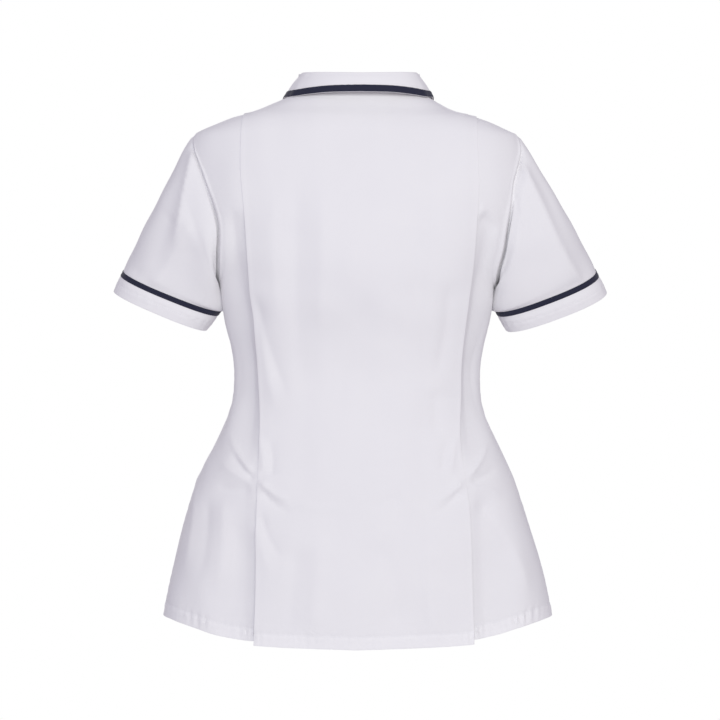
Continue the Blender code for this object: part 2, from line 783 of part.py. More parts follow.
def sleeve_surface(word):
    """A whole sleeve, from the armhole to the band's lower edge, as if it were the left one.

    Down to the trim each line is a cubic with a given way out of the armhole. The band below is
    straight. The rows at the trim are its upper edge, its middle and its lower edge.
    """
    top, bottom = cuff_edge(word, 0), cuff_edge(word, 1)
    start, start_way = arm_points(), sleeve_start()
    reach = np.linalg.norm(top - start, axis=1, keepdims=True)
    end_way = unit(bottom - top) * reach
    part = np.linspace(0, 1, SLEEVE_ROWS + 1)[:, None, None]
    tube = (
        start * (1 + 2 * part) * (1 - part) ** 2
        + start_way * part * (1 - part) ** 2
        + top * part**2 * (3 - 2 * part)
        + end_way * part**2 * (part - 1)
    )
    way, behind = arm_round()
    outward = -wall_directions(tube, closed=True)
    signed_way = (way * np.where(behind, 1, -1))[None, :]
    down = part[:, :, 0]
    rise = np.zeros(tube.shape[:2])
    for k in range(len(SLEEVE_FOLDS["out"])):
        fold = {name: column[k] for name, column in SLEEVE_FOLDS.items()}
        centre = fold["way_start"] + (fold["way_end"] - fold["way_start"]) * down
        length = ease(down, fold["down_start"], fold["down_start"] + 0.2)
        length = length * (1 - ease(down, fold["down_end"] - 0.5, fold["down_end"]))
        rise += fold["out"] * length * np.exp(-(((signed_way - centre) / fold["way_width"]) ** 2))
    tube = tube + outward * rise[:, :, None]
    whole = TRIM_WIDTH + BAND_WIDTH
    shares = np.array([TRIM_WIDTH / 2, TRIM_WIDTH, whole * 0.6, whole]) / whole
    band = top + (bottom - top) * shares[:, None, None]
    return np.concatenate([tube, band])


def sleeve_pieces(word, cloth, trim):
    """A sleeve, its white band, and the trim that lies over the seam between them."""
    grid = sleeve_surface(word)
    through = -wall_directions(grid, closed=True)
    mitre, _, into_sleeve = arm_seam()
    through[0] = mitre
    seam = SLEEVE_ROWS + 1
    inset = np.zeros_like(grid)
    inset[0] = into_sleeve
    down = unit(grid[seam + 1] - grid[seam - 1])
    inset[seam] = -down
    lower_inset = np.zeros_like(grid)
    lower_inset[seam] = down
    lift = CLOTH / 2 + LAYER_GAP + BRAID / 2
    flip = mirrored if word == "right" else np.asarray
    parts = (
        ("sleeve", grid + inset * SEAM_GAP / 2, slice(0, seam + 1), CLOTH, cloth),
        ("cuff", grid + lower_inset * SEAM_GAP / 2, slice(seam, None), CLOTH, cloth),
        ("cuff_trim", grid + through * lift, slice(seam - 1, seam + 2), BRAID, trim),
    )
    for name, points, rows, thick, material in parts:
        wall(
            f"{name}_{word}",
            flip(points[rows]),
            flip(through[rows]),
            thick,
            material,
            closed=True,
        )


def clear_of_form(points, clearance):
    """The points, moved out where they lie less than the clearance in front of or behind the form."""
    x, y, height = points[..., 0], points[..., 1], np.minimum(points[..., 2], 0)
    behind = y >= 0
    least = depth_on_form(x, height, behind)
    normal = form_normal(np.stack([x, np.where(behind, 1, -1) * np.maximum(least, 1), height], -1))
    least = least + clearance / np.maximum(np.abs(normal[..., 1]), 0.35)
    moved = np.where(behind, np.maximum(y, least), np.minimum(y, -least))
    return np.stack([x, np.where(least > clearance * 3, moved, y), points[..., 2]], -1)


def collar_ways():
    """The collar's columns along half its length: 0 centre back, 1 side of the neck, 2 centre front."""
    back_ways = np.linspace(0, 1, NECK_STEPS_BACK + 1)
    front_ways = np.linspace(1, 2, NECK_STEPS_FRONT + 1)
    return np.concatenate([back_ways, front_ways[1:]])


def collar_half():
    """The collar from the centre back round to the centre front, on the wearer's left.

    The rows go up the stand, over the roll at the fold line and down the fall to its edge.
    """
    way = collar_ways()
    base, outward, step = stand_step(way)
    fold = base + step
    up = np.array([0.0, 0.0, 1.0])
    turn = np.linspace(np.pi, 0, FOLD_STEPS + 1)
    roll = [
        fold + COLLAR_TURN * (outward * math.cos(angle) + up * math.sin(angle)) for angle in turn
    ]
    edge = np.stack(
        [
            read(COLLAR_EDGE, "reach_x", way, "way"),
            read(COLLAR_EDGE, "reach_y", way, "way"),
            -read(COLLAR_EDGE, "drop", way, "way"),
        ],
        -1,
    )
    edge = clear_of_form(edge, COLLAR_CLEAR)
    start = roll[-1]
    bulge = start + (edge - start) * COLLAR_BULGE_PLACE + (outward + up) * COLLAR_BULGE
    length = np.linalg.norm(edge - start, axis=1, keepdims=True)
    trim_start = 1 - TRIM_WIDTH / length
    fall = []
    for share in COLLAR_FALL_ROWS:
        part = trim_start * share
        fall.append(start * (1 - part) ** 2 + 2 * bulge * part * (1 - part) + edge * part**2)
    rows = [base, base + step * 0.5, *roll, *fall, edge]
    grid = np.array(rows)
    fallen = len(fall) + 1
    grid[-fallen:] = clear_of_form(grid[-fallen:], COLLAR_CLEAR)
    return grid


def collar(cloth, trim):
    """The collar and the trim along its edge."""
    left = collar_half()
    left[:, -1, 0] = np.maximum(left[:, -1, 0], COLLAR_END)
    grid = np.concatenate([mirrored(left)[:, :-1], left], axis=1)
    ways = collar_ways()
    ways = np.concatenate([ways[::-1][:-1], ways])
    last = len(grid) - 1
    leaning = np.interp(np.arange(last + 1), (0, 2, last - 3, last), COLLAR_LEAN_SHARES)
    grid[:, :, 0] -= COLLAR_LEAN * np.outer(leaning, 1 - ease(ways, 0, 1.5))
    behind, before = neck_seam(True), neck_seam(False)
    mitre, into_collar = (
        np.concatenate([behind[part], before[part][::-1][1:]]) for part in (0, 2)
    )
    mitre, into_collar = (
        np.concatenate([mirrored(values[None])[0][:-1], values]) for values in (mitre, into_collar)
    )
    through = wall_directions(grid)
    through *= np.sign((through[0] * mitre).sum())
    through[0] = mitre
    inset = np.zeros_like(grid)
    inset[0] = into_collar
    wall("collar", grid + inset * SEAM_GAP / 2, through, COLLAR_CLOTH, cloth)
    lift = COLLAR_CLOTH / 2 + LAYER_GAP + BRAID / 2
    rows = slice(-2, None)
    wall("collar_trim", (grid - through * lift)[rows], through[rows], BRAID, trim)


def button(number, centre_line, material):
    """A round button with a raised rim, lying on the right front at the centre.

    The centre line is the middle of that front's cloth, from the neck to the hem.
    """
    height = -(FIRST_BUTTON_DROP + BUTTON_SPACING * (number - 1))
    heights = height + BUTTON_RADIUS * np.linspace(1, -1, 9)
    depths = np.interp(-heights, -centre_line[:, 2], centre_line[:, 1])
    line = np.stack([0 * heights, depths, heights], -1)
    side = np.array([1.0, 0.0, 0.0])
    up = unit(line[0] - line[-1])
    outward = np.cross(side, up)
    middle = (line[0] + line[-1]) / 2
    highest = ((line - middle) @ outward).max()
    base = middle + outward * (highest + CLOTH / 2 + SEAM_GAP)
    profile = table(
        "radius height",
        (BUTTON_RADIUS - 1.4, 0.0),
        (BUTTON_RADIUS, 0.9),
        (BUTTON_RADIUS - 0.3, BUTTON_THICK - 0.3),
        (BUTTON_RADIUS - 1.1, BUTTON_THICK),
        (BUTTON_RADIUS - 2.6, BUTTON_THICK - 0.7),
    )
    sides = 16
    turn = np.linspace(0, 2 * np.pi, sides, endpoint=False)
    ring = np.outer(np.cos(turn), side) + np.outer(np.sin(turn), up)
    points = np.concatenate(
        [base + ring * r + outward * h for r, h in zip(profile["radius"], profile["height"])]
        + [base[None], (base + outward * (BUTTON_THICK - 0.8))[None]]
    )
    levels = len(profile["radius"])
    number_of = np.arange(levels * sides).reshape(levels, sides)
    after = np.roll(number_of, -1, axis=1)
    bottom, top = levels * sides, levels * sides + 1
    faces = [
        np.stack([number_of[:-1], after[:-1], after[1:]], -1).reshape(-1, 3),
        np.stack([number_of[:-1], after[1:], number_of[1:]], -1).reshape(-1, 3),
        np.stack([after[0], number_of[0], np.full(sides, bottom)], -1),
        np.stack([number_of[-1], after[-1], np.full(sides, top)], -1),
    ]
    solid(f"button_{number}", points, np.concatenate(faces), material)


def main():
    """Builds the coat."""
    for thing in list(bpy.data.objects):
        bpy.data.objects.remove(thing, do_unlink=True)
    cloth = finish("white_cloth", (0.80, 0.80, 0.82), 0.85)
    navy = finish("navy_trim", (0.014, 0.016, 0.04), 0.8)
    plastic = finish("white_plastic", (0.78, 0.78, 0.80), 0.3)
    back(cloth)
    lapped = front("front_right", -1, cloth)
    front("front_left", 1, cloth)
    for word in CUFFS:
        sleeve_pieces(word, cloth, navy)
    collar(cloth, navy)
    centre_line = lapped[:, -2]  # the last column but one is the centre, and the last one is past it
    for number in range(1, BUTTONS + 1):
        button(number, centre_line, plastic)


main()
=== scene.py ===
"""The looks of a short-sleeve lab coat, filled out with no wearer.

The coat faces -Y and stands in +Z, with its origin level with the sides of the neck, in the middle
of the neck opening. The wearer's left is +X. Every length below is in millimetres and becomes metres
when a mesh is made. Each piece of cloth is a surface of rows and columns of points, worked out from
the coat's form and its cut, and becomes a thin closed shell around that surface. "Behind" is +Y.
"""
import json
import logging
import math
from collections.abc import Iterator
from dataclasses import dataclass, field
from enum import Enum
from functools import cached_property

import bpy
import numpy as np
from bpy.types import ID, Material, Node, NodeSocket, NodeTree, Object
from mathutils import Vector
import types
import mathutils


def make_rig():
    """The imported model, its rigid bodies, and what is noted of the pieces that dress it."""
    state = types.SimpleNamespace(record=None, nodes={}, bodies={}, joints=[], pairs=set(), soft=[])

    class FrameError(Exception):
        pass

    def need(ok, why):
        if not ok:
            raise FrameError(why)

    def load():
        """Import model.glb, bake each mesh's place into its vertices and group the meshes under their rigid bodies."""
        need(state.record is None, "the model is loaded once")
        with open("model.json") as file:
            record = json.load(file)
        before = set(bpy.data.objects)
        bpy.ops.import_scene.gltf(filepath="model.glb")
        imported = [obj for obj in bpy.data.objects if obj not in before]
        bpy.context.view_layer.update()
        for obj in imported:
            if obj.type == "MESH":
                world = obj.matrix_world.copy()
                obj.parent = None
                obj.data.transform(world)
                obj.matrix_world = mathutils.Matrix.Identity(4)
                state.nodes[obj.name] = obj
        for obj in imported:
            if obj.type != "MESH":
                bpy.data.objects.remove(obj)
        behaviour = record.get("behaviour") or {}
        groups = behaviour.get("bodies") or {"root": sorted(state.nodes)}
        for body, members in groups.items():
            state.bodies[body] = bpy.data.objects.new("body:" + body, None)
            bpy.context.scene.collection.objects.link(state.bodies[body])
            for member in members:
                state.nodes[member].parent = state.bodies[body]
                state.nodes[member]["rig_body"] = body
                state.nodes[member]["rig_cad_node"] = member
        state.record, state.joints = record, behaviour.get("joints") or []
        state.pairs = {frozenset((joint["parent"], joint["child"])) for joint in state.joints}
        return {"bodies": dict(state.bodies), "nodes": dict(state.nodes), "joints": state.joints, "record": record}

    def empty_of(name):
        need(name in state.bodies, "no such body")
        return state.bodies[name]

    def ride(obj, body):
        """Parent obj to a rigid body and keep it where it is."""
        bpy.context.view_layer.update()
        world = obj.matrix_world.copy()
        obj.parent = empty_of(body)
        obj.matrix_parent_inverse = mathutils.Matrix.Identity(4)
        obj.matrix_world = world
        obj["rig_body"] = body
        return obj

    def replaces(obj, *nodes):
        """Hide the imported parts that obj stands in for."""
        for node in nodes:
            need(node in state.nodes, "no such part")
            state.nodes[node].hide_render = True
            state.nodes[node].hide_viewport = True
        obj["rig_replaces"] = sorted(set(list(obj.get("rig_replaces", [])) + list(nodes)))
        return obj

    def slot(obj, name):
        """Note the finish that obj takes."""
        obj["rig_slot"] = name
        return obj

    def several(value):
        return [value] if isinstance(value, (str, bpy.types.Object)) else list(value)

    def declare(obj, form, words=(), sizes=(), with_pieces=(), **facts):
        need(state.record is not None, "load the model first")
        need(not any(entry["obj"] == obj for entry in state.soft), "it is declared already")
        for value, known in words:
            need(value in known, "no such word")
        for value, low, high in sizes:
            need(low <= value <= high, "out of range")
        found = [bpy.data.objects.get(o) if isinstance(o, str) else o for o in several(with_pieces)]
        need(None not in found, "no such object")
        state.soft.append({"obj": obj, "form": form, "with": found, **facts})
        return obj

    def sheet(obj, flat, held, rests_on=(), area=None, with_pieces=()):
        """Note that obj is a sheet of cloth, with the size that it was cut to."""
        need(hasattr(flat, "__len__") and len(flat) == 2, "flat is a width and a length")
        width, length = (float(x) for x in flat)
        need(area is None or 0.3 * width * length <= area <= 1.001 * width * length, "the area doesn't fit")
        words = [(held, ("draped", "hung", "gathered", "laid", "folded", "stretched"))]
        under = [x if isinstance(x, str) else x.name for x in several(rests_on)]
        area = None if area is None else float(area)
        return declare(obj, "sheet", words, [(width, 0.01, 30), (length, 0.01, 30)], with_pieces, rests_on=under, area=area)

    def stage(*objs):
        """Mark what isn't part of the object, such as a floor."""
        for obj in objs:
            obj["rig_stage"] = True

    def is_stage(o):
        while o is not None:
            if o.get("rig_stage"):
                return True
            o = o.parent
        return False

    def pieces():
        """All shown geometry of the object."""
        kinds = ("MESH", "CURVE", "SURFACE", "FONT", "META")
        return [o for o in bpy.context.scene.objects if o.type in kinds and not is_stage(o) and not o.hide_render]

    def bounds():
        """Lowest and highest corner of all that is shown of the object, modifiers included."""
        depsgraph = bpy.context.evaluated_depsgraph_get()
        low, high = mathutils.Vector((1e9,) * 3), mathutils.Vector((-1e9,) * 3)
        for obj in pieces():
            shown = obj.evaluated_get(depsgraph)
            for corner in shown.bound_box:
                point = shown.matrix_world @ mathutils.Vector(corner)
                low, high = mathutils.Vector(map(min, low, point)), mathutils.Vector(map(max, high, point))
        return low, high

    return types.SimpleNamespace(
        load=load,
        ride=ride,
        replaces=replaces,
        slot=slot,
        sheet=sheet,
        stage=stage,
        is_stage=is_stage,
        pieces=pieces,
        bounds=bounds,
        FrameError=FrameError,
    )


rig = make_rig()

Array = np.ndarray
Sockets = bpy.types.bpy_prop_collection
Pair = tuple[float, float]
Triple = tuple[float, float, float]
MM = 0.001
BODY = "root"
SIZE_FILE = "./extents.json"
SHARP_ANGLE = math.radians(60)
FOLD_COLUMNS = "x_start drop_start x_end drop_end bow width keen rise_start rise_end"
ACROSS = np.array([1.0, 0.0, 0.0])

log = logging.getLogger("lab_coat")


class Side(Enum):
    """The wearer's left or right, as the sign of x there."""

    LEFT = 1
    RIGHT = -1

    @property
    def word(self) -> str:
        """The side's name in lower case."""
        return self.name.lower()


class Face(Enum):
    """The back or the front of the coat, as the sign of y there."""

    BACK = 1
    FRONT = -1

    @property
    def behind(self) -> bool:
        """Whether this is the back."""
        return self is Face.BACK


class Look(Enum):
    """The finishes, each with its material's name and the slot of the record that it stands for."""

    CLOTH = ("white_twill", "white_cloth")
    BRAID = ("navy_braid", "navy_trim")
    THREAD = ("white_thread", "white_cloth")
    DARK_THREAD = ("navy_thread", "navy_trim")
    PLASTIC = ("white_plastic_gloss", "white_plastic")


def unit(vectors: Array) -> Array:
    """The vectors, each with a length of 1."""
    return vectors / np.maximum(np.linalg.norm(vectors, axis=-1, keepdims=True), 1e-9)


def ease(at: Array | float, low: Array | float, high: Array | float) -> Array:
    """A soft step from 0 at low to 1 at high: 3p^2 - 2p^3, where p is the share of the way."""
    part = np.clip((np.asarray(at, float) - low) / (high - low), 0.0, 1.0)
    return part * part * (3.0 - 2.0 * part)


def bell(away: Array, width: float) -> Array:
    """A bell curve round 0: exp(-(away / width)^2)."""
    return np.exp(-((away / width) ** 2))


def crease_height(away: Array, keen: float, width: float) -> Array:
    """A crease seen across, keener for a smaller s: exp((s - sqrt(d^2 + s^2)) / w)."""
    return np.exp((keen - np.sqrt(away**2 + keen**2)) / width)


def cubic(part: Array, start: Array, leaving: Array, end: Array, arriving: Array) -> Array:
    """A cubic curve through given ends with given slopes.

    Args:
        part: the share of the way.
        start, leaving: its value and slope at 0.
        end, arriving: its value and slope at 1.

    Returns:
        Its values.
    """
    from_start = start * (1 + 2 * part) * (1 - part) ** 2 + leaving * part * (1 - part) ** 2
    return from_start + end * part**2 * (3 - 2 * part) + arriving * part**2 * (part - 1)


def smooth(at: Array | float, xs: Array, ys: Array) -> Array:
    """A curve through points that doesn't overshoot them.

    Each span is a cubic, and the slope at a point is the weighted harmonic mean of the two
    chords beside it.

    Args:
        at: where it is read.
        xs, ys: the points, with xs rising.

    Returns:
        Its values.
    """
    spans = np.diff(xs)
    chords = np.diff(ys) / spans
    slopes = np.zeros(len(xs))
    before, after = 2 * spans[1:] + spans[:-1], spans[1:] + 2 * spans[:-1]
    same = chords[:-1] * chords[1:] > 0
    low, high = chords[:-1][same], chords[1:][same]
    slopes[1:-1][same] = (before + after)[same] / (before[same] / low + after[same] / high)
    slopes[0], slopes[-1] = chords[0], chords[-1]
    at = np.asarray(at, float)
    span = np.clip(np.searchsorted(xs, at, side="right") - 1, 0, len(spans) - 1)
    wide = spans[span]
    part = (at - xs[span]) / wide
    return cubic(part, ys[span], slopes[span] * wide, ys[span + 1], slopes[span + 1] * wide)


def rounded(across: Array, away: Array, square: Array | float) -> Array:
    """How far a rounded section with exponent n reaches: (|a|^n + |b|^n)^(-1/n), an ellipse for 2."""
    return (np.abs(across) ** square + np.abs(away) ** square) ** (-1 / square)


def read_path(at: Array | float, known: Array, path: Array) -> Array:
    """Points of a path at given places, where the places of its own points are known."""
    return np.stack([np.interp(at, known, path[:, k]) for k in range(3)], -1)


def circle(count: int) -> Array:
    """Angles evenly round a circle."""
    return np.linspace(0, 2 * np.pi, count, endpoint=False)


def quads(number: Array) -> Array:
    """Four point numbers for each cell of a grid of them."""
    corners = (number[:-1, :-1], number[:-1, 1:], number[1:, 1:], number[1:, :-1])
    return np.stack([corner.ravel() for corner in corners], -1)


def ring_quads(number: Array) -> Array:
    """Four point numbers for each cell between rings.

    Args:
        number: the point numbers, with each ring along the last axis.

    Returns:
        Four numbers for each face.
    """
    after = np.roll(number, -1, axis=-1)
    low, high = np.s_[..., :-1, :], np.s_[..., 1:, :]
    return np.stack([number[low], after[low], after[high], number[high]], -1).reshape(-1, 4)


def down_lengths(points: Array) -> Array:
    """For each point, how far it lies from the first row, measured down its column."""
    steps = np.linalg.norm(np.diff(points, axis=0), axis=2)
    return np.concatenate([np.zeros((1, points.shape[1])), np.cumsum(steps, axis=0)])


def row_lengths(points: Array) -> Array:
    """For each point, how far it lies from the first column, measured along its row."""
    return down_lengths(points.transpose(1, 0, 2)).T


def puckers(along: Array, spacing: float, wander: float = 0.6) -> Array:
    """Uneven waves along a sewn edge: three sines whose pitches don't repeat together.

    Args:
        along: distances along the edge.
        spacing: from wave to wave.
        wander: how much they shift.

    Returns:
        The waves' heights.
    """
    turn = 2 * np.pi * along / spacing
    slow = np.sin(turn * 0.173 + 1.1) + 0.6 * np.sin(turn * 0.071 + 0.4)
    return np.sin(turn + wander * 3 * slow) * (0.55 + 0.45 * np.sin(turn * 0.119 + 2.0))


def swells(points: Array) -> Array:
    """Broad low waves of soft cloth: nine crossing sines, each longer than the last.

    Args:
        points: places on the coat.

    Returns:
        How far each is raised.
    """
    rise = np.zeros(points.shape[:-1])
    steepness, first, growth, spiral = 0.0042, 36.0, 1.22, 137.5
    for k in range(9):
        length = first * growth**k
        turn, tilt = math.radians(spiral * k), math.sin(1.7 * k)
        way = np.array([math.cos(turn), tilt, math.sin(turn)]) / math.hypot(1.0, tilt)
        rise += steepness * length * np.sin(2 * np.pi * (points @ way) / length + 2.1 * k)
    return rise


def placed(name: str, data: ID) -> Object:
    """Puts a new object in the scene.

    Args:
        name: its name.
        data: its mesh, light or camera.

    Returns:
        The object.
    """
    thing = bpy.data.objects.new(name, data)
    bpy.context.scene.collection.objects.link(thing)
    return thing


class Table:
    """Rows of numbers under named columns, read as smooth curves over the first column."""

    def __init__(self, names: str, rows: str) -> None:
        """Keeps each column as an array.

        Args:
            names: the columns' names, parted by spaces.
            rows: the rows, parted by commas, with their numbers parted by spaces.
        """
        self.names = names.split()
        numbers = np.array([row.split() for row in rows.split(",")], float)
        self.columns = dict(zip(self.names, numbers.T))

    def __getitem__(self, name: str) -> Array:
        """One column."""
        return self.columns[name]

    def __iter__(self) -> Iterator[dict[str, float]]:
        """The rows, each as a dictionary by column."""
        for values in zip(*self.columns.values()):
            yield dict(zip(self.names, map(float, values)))

    def read(self, column: str, at: Array | float) -> Array:
        """One column as a curve over the first column."""
        return smooth(at, self.columns[self.names[0]], self.columns[column])


@dataclass(frozen=True)
class Form:
    """The coat's rounded form, without pleats: half widths and depths at each drop below the neck."""

    sections: Table = Table(
        "drop half_width back_depth front_depth",
        """0 76 46 46, 13.5 101.5 51 47, 25 126 55.5 48.5, 31.5 151 59.5 50.5, 40.5 175 63.5 53.5,
        50 196.5 67 57, 53.5 203.5 68 58, 80 214 77 72, 110 214 85 90, 150 209 94 112,
        200 196 97 130, 245 174.5 95 137, 265 172 92 137, 293 167 86 134, 324 159.4 78 124,
        355 155.6 74 113, 385 156.6 76 109, 405 161.2 79 110, 436 174 86 112, 476 193 94 115,
        517 209.6 100 117, 558 222.2 106 119, 598 233 109 121, 639 242 111 122, 694 252 113 123,
        740 260.5 114 124""",
    )
    spread: float = 14.0
    spread_from: Pair = (110.0, 175.0)
    spread_shares: tuple[float, ...] = (0.1, 0.24, 0.32, 0.24, 0.1)
    sway: Table = Table(
        "drop shift",
        """0 0, 30 2.4, 60 3, 110 1.5, 150 0.8, 240 1, 310 0.9, 370 1.2, 450 2.8, 540 2.6, 600 0.9,
        700 0.5""",
    )
    back_square: float = 2.4
    front_square: float = 2.1
    slope_step: float = 2.0

    def size(self, column: str, drop: Array) -> Array:
        """One size of the section, averaged over nearby drops below the arms, so that it runs on.

        Args:
            column: the size's name.
            drop: where it is read.

        Returns:
            The size at each drop.
        """
        here = self.sections.read(column, drop)
        spread = self.spread * (0.5 if column == "half_width" else 1.0)
        around = [self.sections.read(column, drop + spread * step) for step in (-2, -1, 0, 1, 2)]
        soft = np.tensordot(self.spread_shares, np.stack(around), 1)
        return here + (soft - here) * ease(drop, *self.spread_from)

    def sizes(self, height: Array, behind: Array | bool) -> tuple[Array, Array, Array]:
        """The section at a height.

        Args:
            height: z of the section.
            behind: whether the half behind the side seams is meant.

        Returns:
            Half the width, the depth, and the exponent (2 is an ellipse).
        """
        drop = -np.asarray(height, float)
        deep = np.where(behind, self.size("back_depth", drop), self.size("front_depth", drop))
        square = np.where(behind, self.back_square, self.front_square)
        return self.size("half_width", drop), deep, square

    def point(self, angle: Array, height: Array) -> Array:
        """Points of the form, where |x / width|^n + |y / depth|^n is 1.

        Args:
            angle: 0 centre back, 90 the wearer's left, 180 centre front.
            height: z of each point.

        Returns:
            The points.
        """
        turn = np.radians(angle)
        across, away = np.sin(turn), np.cos(turn)
        wide, deep, square = self.sizes(height, away >= 0)
        reach = rounded(across, away, square)
        return np.stack([wide * reach * across, deep * reach * away, height + 0 * turn], -1)

    def normal(self, points: Array) -> Array:
        """The ways straight out of the form: the gradient of its section's formula.

        Args:
            points: points on the form.

        Returns:
            A way for each.
        """
        x, y, height = np.moveaxis(points, -1, 0)
        step = self.slope_step
        wide, deep, square = self.sizes(height, y >= 0)
        wide_up, deep_up, _ = self.sizes(height + step, y >= 0)
        wide_down, deep_down, _ = self.sizes(height - step, y >= 0)
        share_x, share_y = np.abs(x) / wide, np.abs(y) / deep
        slope_wide, slope_deep = (wide_up - wide_down) / (2 * step), (deep_up - deep_down) / (2 * step)
        out_x = np.sign(x) * share_x ** (square - 1) / wide
        out_y = np.sign(y) * share_y ** (square - 1) / deep
        up = -(share_x**square) * slope_wide / wide - share_y**square * slope_deep / deep
        return unit(np.stack([out_x, out_y, up], -1))

    def depth(self, x: Array, height: Array, behind: Array | bool) -> Array:
        """How far back or forward the form reaches at a distance from the centre and a height."""
        wide, deep, square = self.sizes(height, behind)
        return deep * np.maximum(1 - (np.abs(x) / wide) ** square, 0) ** (1 / square)

    def at(self, x: Array, drop: Array, face: Face) -> Array:
        """Points of the back or the front at a distance from the centre and a drop."""
        return np.stack([x, face.value * self.depth(x, -drop, face.behind), -drop], -1)

    def angle(self, points: Array, face: Face) -> Array:
        """The form's angle at points on it.

        Args:
            points: points on the form.
            face: the back or the front.

        Returns:
            Degrees from the centre back.
        """
        x, y, height = np.moveaxis(points, -1, 0)
        wide, deep, _ = self.sizes(height, face.behind)
        turn = np.degrees(np.arctan2(x / wide, np.abs(y) / deep))
        return turn if face.behind else 180 - turn

    def swayed(self, points: Array) -> Array:
        """The points, moved sideways as the whole coat hangs a little to the wearer's left."""
        shift = self.sway.read("shift", np.clip(-points[..., 2], 0, None))
        return points + shift[..., None] * ACROSS


class Rows:
    """Finely sampled rows of half a panel, from its centre to its side."""

    def __init__(self, across: Array, points: Array) -> None:
        """Measures the rows.

        Args:
            across: the samples' places, 0 at the centre and 1 at the side.
            points: the samples, row by row.
        """
        self.across = across
        self.points = points
        self.along = row_lengths(points)
        self.length = self.along[:, -1]

    def at(self, along: Array) -> Array:
        """Points along the rows.

        Args:
            along: distances from the centre, less than nothing past it, for each row.

        Returns:
            The points.
        """
        rows = zip(np.abs(along), self.along, self.points)
        points = np.stack([read_path(*row) for row in rows])
        points[..., 0] *= np.where(along < 0, -1, 1)
        return points

    def where(self, gap: Array) -> Array:
        """For each row, the distance from the centre at which a rising gap becomes nothing."""
        return np.array([np.interp(0, g, known) for g, known in zip(gap, self.along)])


